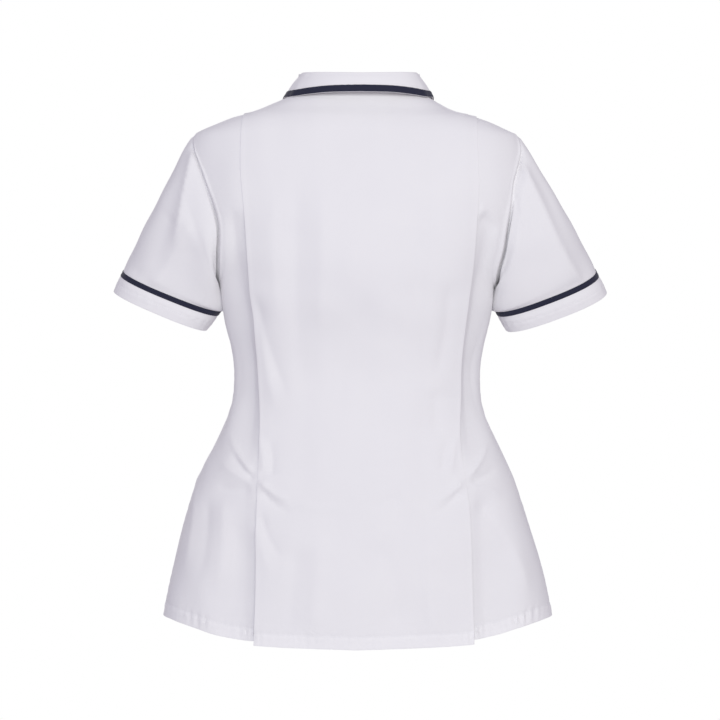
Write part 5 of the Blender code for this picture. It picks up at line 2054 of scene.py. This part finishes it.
@dataclass
class Buttons:
    """Six round buttons with four holes, down the centre of the right front, and their thread."""

    shop: Workshop
    count: int = 6
    radius: float = 7.5
    gap: float = 0.3
    first_drop: float = 76.0
    spacing: float = 95.0
    sides: int = 48
    hole_reach: float = 1.55
    hole_radius: float = 0.75
    hole_depth: float = 1.1
    bar_half: float = 1.72
    bar_sink: float = 0.12
    slit: Pair = (-9.6, 9.0)
    slit_half: float = 1.0
    slit_reach: float = 0.85
    profile: Table = Table(
        "inward height",
        """7.5 0, 1.6 0, 0.6 0.35, 0 1.1, 0.05 1.9, 0.45 2.4, 1.1 2.6, 1.7 2.45, 2.3 2, 2.9 1.85,
        3.4 1.85, 3.9 1.85, 4.4 1.85, 4.8 1.85, 5.2 1.85, 5.6 1.85, 6 1.85, 6.4 1.85, 6.8 1.85,
        7.1 1.85""",
    )

    def place(self, number: int, line: Array) -> tuple[Array, Array]:
        """Where a button lies.

        Args:
            number: 1 for the highest one.
            line: the front's outer face down the centre.

        Returns:
            The middle of its underside, and its axes: across, up along the cloth, and out of it.
        """
        height = -(self.first_drop + self.spacing * (number - 1))
        heights = height + self.radius * np.linspace(1, -1, 9)
        depths = np.interp(-heights, -line[:, 2], line[:, 1])
        near = np.stack([0 * heights, depths, heights], -1)
        up = unit(near[0] - near[-1])
        outward = np.cross(ACROSS, up)
        middle = (near[0] + near[-1]) / 2
        highest = ((near - middle) @ outward).max()
        return middle + outward * (highest + self.gap), np.stack([ACROSS, up, outward])

    def turned(self) -> tuple[Array, list[list[int]]]:
        """A button on its own: a profile turned round, with four round hollows for the holes.

        Returns:
            Points across, up and out of the button, and point numbers for each face.
        """
        turn = circle(self.sides)
        reach = (self.radius - self.profile["inward"])[1:, None]
        height = np.broadcast_to(self.profile["height"][1:, None], (len(reach), self.sides))
        x, y = reach * np.cos(turn), reach * np.sin(turn)
        upper = (np.arange(len(reach)) > len(reach) // 2)[:, None]
        spot = np.hypot(np.abs(x) - self.hole_reach, np.abs(y) - self.hole_reach)
        hole = self.hole_depth * (1 - ease(spot, self.hole_radius * 0.6, self.hole_radius))
        points = np.stack([x, y, height - hole * upper], -1).reshape(-1, 3)
        number = np.arange(len(points)).reshape(len(reach), self.sides)
        after = np.roll(number, -1, axis=1)
        poles = np.array([[0, 0, 0.0], [0, 0, self.profile["height"][-1]]])
        low, high = np.full(self.sides, len(points)), np.full(self.sides, len(points) + 1)
        caps = [np.stack([after[0], number[0], low], -1), np.stack([number[-1], after[-1], high], -1)]
        faces = ring_quads(number).tolist() + np.concatenate(caps).tolist()
        return np.concatenate([points, poles]), faces

    def build(self, lapped: Sheet) -> None:
        """Makes the buttons, the thread through their holes, and the buttonholes under them.

        Args:
            lapped: the surface of the front that they are on.
        """
        shop = self.shop
        column = lapped.points.shape[1] - 1 - Front(shop, Side.RIGHT).lap_steps
        line = lapped.outer()[0][:, column]
        local, faces = self.turned()
        threads, holes = Threads(), Threads()
        for number in range(1, self.count + 1):
            base, axes = self.place(number, line)
            points = shop.form.swayed(base + local @ axes)
            shop.piece(f"button_{number}_dish", points, faces, Look.PLASTIC, f"button_{number}")
            self.sew_on(threads, base, axes)
            self.sew_hole(holes, base, axes)
        threads.make(shop, "button_threads")
        holes.make(shop, "buttonholes")

    def sew_on(self, threads: Threads, base: Array, axes: Array) -> None:
        """Sews two bars of thread across a button's holes.

        Args:
            threads: what they are added to.
            base, axes: the button's place and axes.
        """
        level = self.profile["height"][-1] - self.bar_sink
        stitch = Stitch(pitch=3.4, length=3.3, radius=0.3, rings=7)
        for offset in (-self.hole_reach, self.hole_reach):
            ends = np.array([[-self.bar_half, offset, level], [self.bar_half, offset, level]])
            threads.sew(base + ends @ axes, np.stack([axes[2]] * 2), stitch)

    def sew_hole(self, threads: Threads, base: Array, axes: Array) -> None:
        """Sews the two close rows of a buttonhole, level with the button and under it.

        Args:
            threads: what they are added to.
            base, axes: the button's place and axes.
        """
        level = -self.gap + 0.05
        stitch = Stitch(pitch=0.62, length=1.7, radius=0.24, rings=3, sides=5)
        for offset in (-self.slit_half, self.slit_half):
            for x in np.arange(*self.slit, stitch.pitch):
                ends = [[x, offset + reach, level] for reach in (-self.slit_reach, self.slit_reach)]
                threads.sew(base + np.array(ends) @ axes, np.stack([axes[2]] * 2), stitch)


class Nodes:
    """A short way to place and link the nodes of a shader or of a node group."""

    def __init__(self, tree: NodeTree) -> None:
        """Keeps the tree."""
        self.tree = tree

    def fill(self, node: Node, inputs: dict) -> Node:
        """Sets a node's inputs.

        Args:
            node: the node.
            inputs: values, or the sockets that feed them, by name or number.

        Returns:
            The node.
        """
        for name, value in inputs.items():
            if isinstance(value, NodeSocket):
                self.tree.links.new(value, node.inputs[name])
            else:
                node.inputs[name].default_value = value
        return node

    def add(self, kind: str, inputs: dict | None = None, **settings: object) -> Node:
        """Adds a node.

        Args:
            kind: the node's type, without the word that all types of a shader start with.
            inputs: values or sockets for its inputs, by name or number.
            settings: its other settings.

        Returns:
            The node.
        """
        node = self.tree.nodes.new(kind if kind.startswith("Node") else f"ShaderNode{kind}")
        for name, value in settings.items():
            setattr(node, name, value)
        return self.fill(node, inputs or {})

    def math(self, operation: str, *values: object) -> NodeSocket:
        """The result of one step of arithmetic."""
        return self.add("Math", dict(enumerate(values)), operation=operation).outputs[0]

    def mix(self, share: object, one: object, two: object) -> NodeSocket:
        """A mix of two colours."""
        return self.add("Mix", {0: share, 6: one, 7: two}, data_type="RGBA").outputs[2]

    def bump(self, height: NodeSocket, strength: float, depth: float, **ways: NodeSocket) -> NodeSocket:
        """The way out of a surface that is raised by a height, up to a depth in metres."""
        inputs = {"Height": height, "Strength": strength, "Distance": depth, **ways}
        return self.add("Bump", inputs).outputs[0]

    def noise(self, place: object, scale: object, **sizes: float) -> NodeSocket:
        """Cloudy noise, with its detail and other sizes by name."""
        return self.add("TexNoise", {"Vector": place, "Scale": scale, **sizes}).outputs[0]

    def group(self, tree: NodeTree, inputs: dict) -> Sockets:
        """The outputs of a node group that is used here."""
        return self.add("Group", inputs, node_tree=tree).outputs


class Effects:
    """The effects that more than one finish uses, each a node group that is built once."""

    def __init__(self) -> None:
        """Builds the groups."""
        self.twill = self._twill()
        self.mottling = self._mottling()
        self.puckers = self._puckers()

    @staticmethod
    def _group(name: str, **sockets: str) -> tuple[Nodes, Sockets]:
        """An empty group.

        Args:
            name: its name.
            sockets: for each input its kind, with the underscores of its name read as spaces.

        Returns:
            The group's nodes and its inputs as sockets.
        """
        tree = bpy.data.node_groups.new(name, "ShaderNodeTree")
        for socket, kind in sockets.items():
            title = socket.replace("_", " ")
            tree.interface.new_socket(name=title, in_out="INPUT", socket_type=f"NodeSocket{kind}")
        nodes = Nodes(tree)
        return nodes, nodes.add("NodeGroupInput").outputs

    @staticmethod
    def _close(nodes: Nodes, **results: NodeSocket) -> NodeTree:
        """Ends a group with its outputs.

        Args:
            nodes: the group's nodes.
            results: each output's name, and the socket that feeds it.

        Returns:
            The group.
        """
        for title, socket in results.items():
            kind = "Color" if socket.type == "RGBA" and title == "Mottled" else "Float"
            nodes.tree.interface.new_socket(
                name=title, in_out="OUTPUT", socket_type=f"NodeSocket{kind}"
            )
        nodes.add("NodeGroupOutput", results)
        return nodes.tree

    def _twill(self) -> NodeTree:
        """Fine slanted ribs of a twill, broken up by the threads that cross them.

        Returns:
            The group.
        """
        nodes, given = self._group("Twill weave", Cloth="Vector", Ribs_per_metre="Float")
        along, down = nodes.add("SeparateXYZ", {0: given["Cloth"]}).outputs[:2]
        rate = nodes.math("MULTIPLY", given["Ribs per metre"], 2 * math.pi)
        rib = nodes.math("SINE", nodes.math("MULTIPLY", nodes.math("ADD", along, down), rate))
        cross = nodes.math("SUBTRACT", along, down)
        thread = nodes.math("SINE", nodes.math("MULTIPLY", cross, nodes.math("MULTIPLY", rate, 2.0)))
        both = nodes.math("ADD", rib, nodes.math("MULTIPLY", thread, 0.45))
        height = nodes.math("MULTIPLY_ADD", both, 0.34, 0.5)
        uneven = nodes.noise(given["Cloth"], 1400.0, Detail=2.0, Roughness=0.6)
        return self._close(nodes, Height=height, Tone=nodes.math("MULTIPLY", height, uneven))

    def _mottling(self) -> NodeTree:
        """Broad soft differences of tone, as in cloth that has been pressed and worn.

        Returns:
            The group.
        """
        nodes, given = self._group(
            "Soft mottling", Place="Vector", Scale="Float", Amount="Float", Colour="Color", Shade="Color"
        )
        noise = nodes.noise(
            given["Place"], given["Scale"], Detail=3.0, Roughness=0.55, Distortion=0.4
        )
        spread = nodes.math("MULTIPLY_ADD", noise, 2.0, -0.5)
        share = nodes.math("MULTIPLY", spread, given["Amount"])
        return self._close(
            nodes, Mottled=nodes.mix(share, given["Colour"], given["Shade"]), Height=noise
        )

    def _puckers(self) -> NodeTree:
        """Small crumples where stitches draw the cloth up, and a few all over.

        Returns:
            The group.
        """
        nodes, given = self._group("Crumples", Place="Vector", Mask="Float", All_over="Float")
        broad = nodes.noise(given["Place"], 11.0, Detail=1.0, Distortion=0.2)
        fine = nodes.noise(given["Place"], 105.0, Detail=2.0, Distortion=0.5)
        drawn = nodes.math("MULTIPLY", fine, given["Mask"])
        soft = nodes.math("MULTIPLY", broad, given["All over"])
        return self._close(nodes, Height=nodes.math("ADD", drawn, soft))


@dataclass(frozen=True)
class Finish:
    """A finish whose colour drifts softly to a second one."""

    name: str
    colour: Triple
    shade: Triple
    mottling: float = 0.35
    mottling_scale: float = 9.0

    def material(self, effects: Effects) -> Material:
        """The finish as a material, with a mottled colour and what the kind of finish adds.

        Args:
            effects: the shared effects.

        Returns:
            The material.
        """
        material = bpy.data.materials.new(self.name)
        material.use_nodes = True
        material.diffuse_color = (*self.colour, 1.0)
        nodes = Nodes(material.node_tree)
        place = nodes.add("TexCoord").outputs["Object"]
        inputs = {"Place": place, "Scale": self.mottling_scale, "Amount": self.mottling}
        colours = {"Colour": (*self.colour, 1.0), "Shade": (*self.shade, 1.0)}
        mottled = nodes.group(effects.mottling, {**inputs, **colours})
        shading = {"Base Color": mottled["Mottled"], **self.shading(effects, nodes, place, mottled)}
        nodes.fill(material.node_tree.nodes["Principled BSDF"], shading)
        return material

    def shading(self, effects: Effects, nodes: Nodes, place: NodeSocket, mottled: Sockets) -> dict:
        """The shader's inputs, from the place on the coat and the mottling's outputs."""
        raise NotImplementedError


@dataclass(frozen=True)
class Cloth(Finish):
    """A woven finish that reads the cloth's UV map and its masks.

    It holds how rough it is, and how strongly its ribs and crumples show.
    """

    roughness: float = 0.82
    sheen: float = 0.12
    ribs: float = 900.0
    rib_depth: float = 0.00006
    crumple_depth: float = 0.0011
    crumple_all: float = 2.4
    # Paler colour for doubled cloth, and for the painted highlight along the back pleats' fold edges.
    double: Triple = (0.92, 0.91, 0.92)
    doubled_and_highlight_share: float = 0.5
    thread_share: float = 0.22

    def shading(self, effects: Effects, nodes: Nodes, place: NodeSocket, mottled: Sockets) -> dict:
        """Twill ribs over soft crumples, and a paler colour where the cloth is doubled; the same
        mask also paints a highlight along the back pleats' fold edges.

        Args:
            effects, nodes: the shared effects and the material's nodes.
            place, mottled: the place on the coat and the mottling's outputs.

        Returns:
            The shader's inputs.
        """
        cloth = nodes.add("UVMap", uv_map="cloth").outputs[0]
        pucker, doubled = (
            nodes.add("Attribute", attribute_name=name).outputs["Fac"] for name in ("pucker", "doubled")
        )
        twill = nodes.group(effects.twill, {"Cloth": cloth, "Ribs per metre": self.ribs})
        inputs = {"Place": place, "Mask": pucker, "All over": self.crumple_all}
        crumples = nodes.group(effects.puckers, inputs)
        share = nodes.math("MULTIPLY", twill["Tone"], self.thread_share)
        threads = nodes.mix(share, mottled["Mottled"], (*self.shade, 1.0))
        # The doubled mask pales doubled cloth, and paints a highlight along the back pleats' fold edges.
        share = nodes.math("MULTIPLY", doubled, self.doubled_and_highlight_share)
        soft = nodes.bump(crumples["Height"], 1.0, self.crumple_depth)
        return {
            "Base Color": nodes.mix(share, threads, (*self.double, 1.0)),
            "Roughness": nodes.math("MULTIPLY_ADD", twill["Tone"], 0.12, self.roughness),
            "Normal": nodes.bump(twill["Height"], 0.6, self.rib_depth, Normal=soft),
            "Sheen Weight": self.sheen,
            "Sheen Roughness": 0.5,
            "Specular IOR Level": 0.3,
        }


@dataclass(frozen=True)
class Thread(Finish):
    """Sewing thread: a colour with the slight shine and twist of a spun yarn."""

    mottling: float = 0.8
    mottling_scale: float = 900.0
    roughness: float = 0.6
    twist_depth: float = 0.0001

    def shading(self, effects: Effects, nodes: Nodes, place: NodeSocket, mottled: Sockets) -> dict:
        """The shader's inputs."""
        twist = nodes.bump(mottled["Height"], 0.5, self.twist_depth)
        return {"Roughness": self.roughness, "Normal": twist}


@dataclass(frozen=True)
class Plastic(Finish):
    """Moulded plastic with a soft shine, faint clouds of tone and fine scuffs."""

    mottling: float = 0.6
    mottling_scale: float = 160.0
    roughness: float = 0.28
    coat: float = 0.2

    def shading(self, effects: Effects, nodes: Nodes, place: NodeSocket, mottled: Sockets) -> dict:
        """The shader's inputs."""
        rough = nodes.math("MULTIPLY_ADD", mottled["Height"], 0.2, self.roughness - 0.1)
        return {"Roughness": rough, "Coat Weight": self.coat}


@dataclass(frozen=True)
class Paper(Finish):
    """Pale matt paper, clear towards the rim of a round floor."""

    mottling: float = 0.2
    mottling_scale: float = 3.0
    radius: float = 0.9

    def shading(self, effects: Effects, nodes: Nodes, place: NodeSocket, mottled: Sockets) -> dict:
        """Plain paper, clearer with the distance from the middle.

        Args:
            effects, nodes: the shared effects and the material's nodes.
            place, mottled: the place on the coat and the mottling's outputs.

        Returns:
            The shader's inputs.
        """
        flat = nodes.add("VectorMath", {0: place, 1: (1, 1, 0)}, operation="MULTIPLY")
        reach = nodes.add("VectorMath", {0: flat.outputs[0]}, operation="LENGTH").outputs["Value"]
        ends = {0: reach, 1: self.radius * 0.35, 2: self.radius * 0.97, 3: 1.0, 4: 0.0}
        fade = nodes.add("MapRange", ends, interpolation_type="SMOOTHSTEP").outputs[0]
        return {"Alpha": fade, "Roughness": 0.9}


def add_aimed(name: str, data: ID, place: Triple, target: Triple) -> Object:
    """Adds a light or a camera to the scene.

    Args:
        name: its name.
        data: the light or the camera.
        place: where it stands, in metres.
        target: the point it looks at.

    Returns:
        The object.
    """
    holder = placed(name, data)
    holder.location = place
    way = Vector(target) - holder.location
    holder.rotation_euler = way.to_track_quat("-Z", "Y").to_euler()
    return holder


@dataclass(frozen=True)
class Lamp:
    """A soft square light that looks at the middle of the coat."""

    name: str
    place: Triple
    size: float
    power: float
    colour: Triple

    def make(self, target: Triple) -> None:
        """Adds the light to the scene.

        Args:
            target: the point it looks at.
        """
        light = bpy.data.lights.new(self.name, "AREA")
        light.shape = "SQUARE"
        light.size = self.size
        light.energy = self.power
        light.color = self.colour
        add_aimed(self.name, light, self.place, target)


@dataclass(frozen=True)
class Studio:
    """A plain pale studio: a floor, soft lights, a white surrounding, and the camera."""

    camera_place: Triple = (-0.0025, 3.0, -0.339)
    frame_width: float = 0.9144
    sensor: float = 36.0
    floor_height: float = -0.95
    floor_radius: float = 0.9
    floor_rings: int = 12
    floor_sides: int = 64
    surround: float = 1.0
    ambient: float = 0.52
    ambient_colour: Triple = (0.90, 0.85, 0.985)
    target: Triple = (0.0, 0.0, -0.35)
    lamps: tuple[Lamp, ...] = (
        Lamp("key_behind", (0.0, 3.2, 0.7), 1.2, 40.0, (0.93, 0.98, 1.0)),
        Lamp("warm_behind", (-1.2, 2.9, 0.35), 1.8, 17.0, (1.0, 0.98, 0.80)),
        Lamp("key_front", (0.0, -3.2, 0.7), 1.2, 40.0, (0.93, 0.98, 1.0)),
        Lamp("warm_front", (1.2, -2.9, 0.35), 1.8, 17.0, (1.0, 0.98, 0.80)),
    )

    def build(self, effects: Effects) -> None:
        """Makes the studio.

        Args:
            effects: the shared effects.
        """
        self._camera()
        self._floor(effects)
        self._surround()
        for lamp in self.lamps:
            lamp.make(self.target)
        bpy.context.scene.view_settings.view_transform = "Standard"
        bpy.context.scene.view_settings.look = "None"

    def _camera(self) -> None:
        """The camera: level, square to the back, with the photograph's frame."""
        data = bpy.data.cameras.new("camera")
        data.sensor_width = self.sensor
        data.lens = self.sensor * self.camera_place[1] / self.frame_width
        data.clip_end = 50.0
        x, _, z = self.camera_place
        bpy.context.scene.camera = add_aimed("camera", data, self.camera_place, (x, 0.0, z))

    def _floor(self, effects: Effects) -> None:
        """A round pale floor well below the hem, made of rings round its middle.

        Args:
            effects: the shared effects.
        """
        rings, sides = self.floor_rings, self.floor_sides
        reach = np.linspace(0, self.floor_radius, rings + 1)[1:, None]
        turn = circle(sides)
        height = np.full((rings, sides), self.floor_height)
        grid = np.stack([reach * np.cos(turn), reach * np.sin(turn), height], -1)
        number = np.arange(rings * sides).reshape(rings, sides)
        middle = np.full(sides, rings * sides)
        fans = np.stack([middle, number[0], np.roll(number[0], -1)], -1)
        mesh = bpy.data.meshes.new("floor")
        points = grid.reshape(-1, 3).tolist() + [[0.0, 0.0, self.floor_height]]
        mesh.from_pydata(points, [], ring_quads(number)[:, ::-1].tolist() + fans.tolist())
        paper = Paper("pale_floor", (0.86, 0.86, 0.87), (0.82, 0.82, 0.84), radius=self.floor_radius)
        mesh.materials.append(paper.material(effects))
        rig.stage(placed("floor", mesh))

    def _surround(self) -> None:
        """A surrounding that the camera sees white, and that lights the coat more dimly."""
        world = bpy.data.worlds.new("surround")
        world.use_nodes = True
        bpy.context.scene.world = world
        nodes = Nodes(world.node_tree)
        dim = world.node_tree.nodes["Background"]
        nodes.fill(dim, {0: (*self.ambient_colour, 1.0), 1: self.ambient})
        seen = nodes.add("Background", {0: (1.0, 1.0, 1.0, 1.0), 1: self.surround}).outputs[0]
        by_camera = nodes.add("LightPath").outputs["Is Camera Ray"]
        mix = nodes.add("MixShader", {0: by_camera, 1: dim.outputs[0], 2: seen}).outputs[0]
        nodes.fill(world.node_tree.nodes["World Output"], {0: mix})


ARMHOLES = {
    Side.LEFT: Table(
        "way back_reach front_reach",
        "0 44 42, 0.2 49 47, 0.3 49.5 50, 0.4 53 58, 0.5 58.5 66, 0.6 63.5 71, 0.8 68 72, 1 70 70",
    ),
    Side.RIGHT: Table(
        "way back_reach front_reach",
        """0 38 42, 0.25 38.5 48.6, 0.34 43 53, 0.4 46.5 58, 0.5 47 66, 0.6 49.5 71, 0.7 52 72,
        0.8 57 72, 1 64 70""",
    ),
}

END_COLUMNS = "centre_x centre_y centre_z half_long half_deep long_rise deep_fall"
SLEEVE_ENDS = {
    Side.LEFT: Table(
        END_COLUMNS,
        "235.8 -18 -249.8 67.2 52 0.375 0.155, 251.5 -21.5 -275 64.2 50 0.39 0.13",
    ),
    Side.RIGHT: Table(
        END_COLUMNS,
        "240.1 -20 -249.3 68.9 48.8 0.356 0.25, 254.4 -27 -275 68.8 43.5 0.349 0.27",
    ),
}

SLEEVE_FOLD_COLUMNS = "way_start down_start way_end down_end bow width keen rise_start rise_end"
SLEEVE_FOLDS = {
    Side.LEFT: Table(
        SLEEVE_FOLD_COLUMNS,
        """0.3 0.45 0.34 0.95 2 11 5 -1.6 -1, 0.74 0.1 0.8 0.85 5 8 3 -1 -0.8,
        -0.4 0.08 -0.62 0.8 6 8 3 1.6 1, -0.72 0.12 -0.8 0.85 -5 8 3 -1.6 -1""",
    ),
    Side.RIGHT: Table(
        SLEEVE_FOLD_COLUMNS,
        """0.42 0 0.49 0.18 1 3.5 0.8 -1.4 -0.6, 0.5 0.2 0.56 0.42 3 4 1 -1 -0.3,
        0.72 0.1 0.8 0.8 5 8 3 -1.1 -0.9, -0.36 0.1 -0.58 0.85 7 9 3 1.5 1,
        -0.7 0.12 -0.82 0.8 -5 8 3 -1.5 -1""",
    ),
}

CREST_COLUMNS = "way_start down_start way_end down_end bow outer inner rise_start rise_end"
SLEEVE_CRESTS = {
    Side.LEFT: Table(
        CREST_COLUMNS,
        """0.19 0 0.41 0.68 5 7 30 11 10, 0.44 0.3 0.36 1.3 0 16 20 4 4,
        -0.18 0.02 -0.38 0.7 -5 9 26 6 5""",
    ),
    Side.RIGHT: Table(
        CREST_COLUMNS,
        "0.27 0 0.2 1.25 15 7.5 30 14 8, -0.2 0.04 -0.36 0.7 -4 9 26 6 5",
    ),
}

SLEEVE_GROOVES = {
    Side.LEFT: Table(
        "way depth width slot",
        """-1 3 4 4, -0.6 2 4 0, -0.2 2 4 0, 0 0.2 4 0, 0.13 0.2 6 0, 0.2 4.5 8 0, 0.4 8 8 0,
        0.5 7 7 4, 0.6 5 6 6.5, 0.85 4 6 9, 1 3 4 6""",
    ),
    Side.RIGHT: Table(
        "way depth width slot",
        """-1 3 5 4, -0.6 2 4 0, -0.2 2 4 0, 0 0.2 4 0, 0.15 0.5 6 0, 0.3 5.5 8 0, 0.45 4 6 0,
        0.53 4 5 6, 0.62 4 5 10, 0.9 4 5 9.5, 1 3 4.5 6""",
    ),
}

FINISHES = {
    Look.CLOTH: Cloth(Look.CLOTH.value[0], (0.85, 0.84, 0.85), (0.80, 0.79, 0.82)),
    Look.BRAID: Cloth(
        Look.BRAID.value[0],
        (0.0125, 0.0145, 0.036),
        (0.022, 0.024, 0.05),
        roughness=0.75,
        ribs=1100.0,
        crumple_depth=0.0004,
        doubled_and_highlight_share=0.0,
    ),
    Look.THREAD: Thread(Look.THREAD.value[0], (0.84, 0.84, 0.86), (0.74, 0.74, 0.78)),
    Look.DARK_THREAD: Thread(Look.DARK_THREAD.value[0], (0.014, 0.016, 0.04), (0.03, 0.033, 0.07)),
    Look.PLASTIC: Plastic(Look.PLASTIC.value[0], (0.80, 0.80, 0.82), (0.74, 0.74, 0.76)),
}


def main() -> None:
    """Builds the coat's pieces in order around the frame, and the studio."""
    logging.basicConfig(level=logging.INFO, format="%(message)s")
    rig.load()
    cad_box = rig.bounds()
    effects = Effects()
    form = Form()
    cuts = {side: Cut(form, ARMHOLES[side]) for side in Side}
    shop = Workshop(form, cuts, {look: finish.material(effects) for look, finish in FINISHES.items()})
    Back(shop).build()
    Front(shop, Side.LEFT).build()
    lapped = Front(shop, Side.RIGHT).build()
    for side in Side:
        tables = (SLEEVE_ENDS, SLEEVE_FOLDS, SLEEVE_CRESTS, SLEEVE_GROOVES)
        Sleeve(shop, side, *(table[side] for table in tables)).build()
    Collar(shop).build()
    Buttons(shop).build(lapped)
    Studio().build(effects)
    shown_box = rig.bounds()
    with open(SIZE_FILE, "w", encoding="utf-8") as out:
        boxes = {"cad": cad_box, "visual": shown_box}
        json.dump({key: [list(map(float, c)) for c in box] for key, box in boxes.items()}, out)


if __name__ == "__main__":
    main()
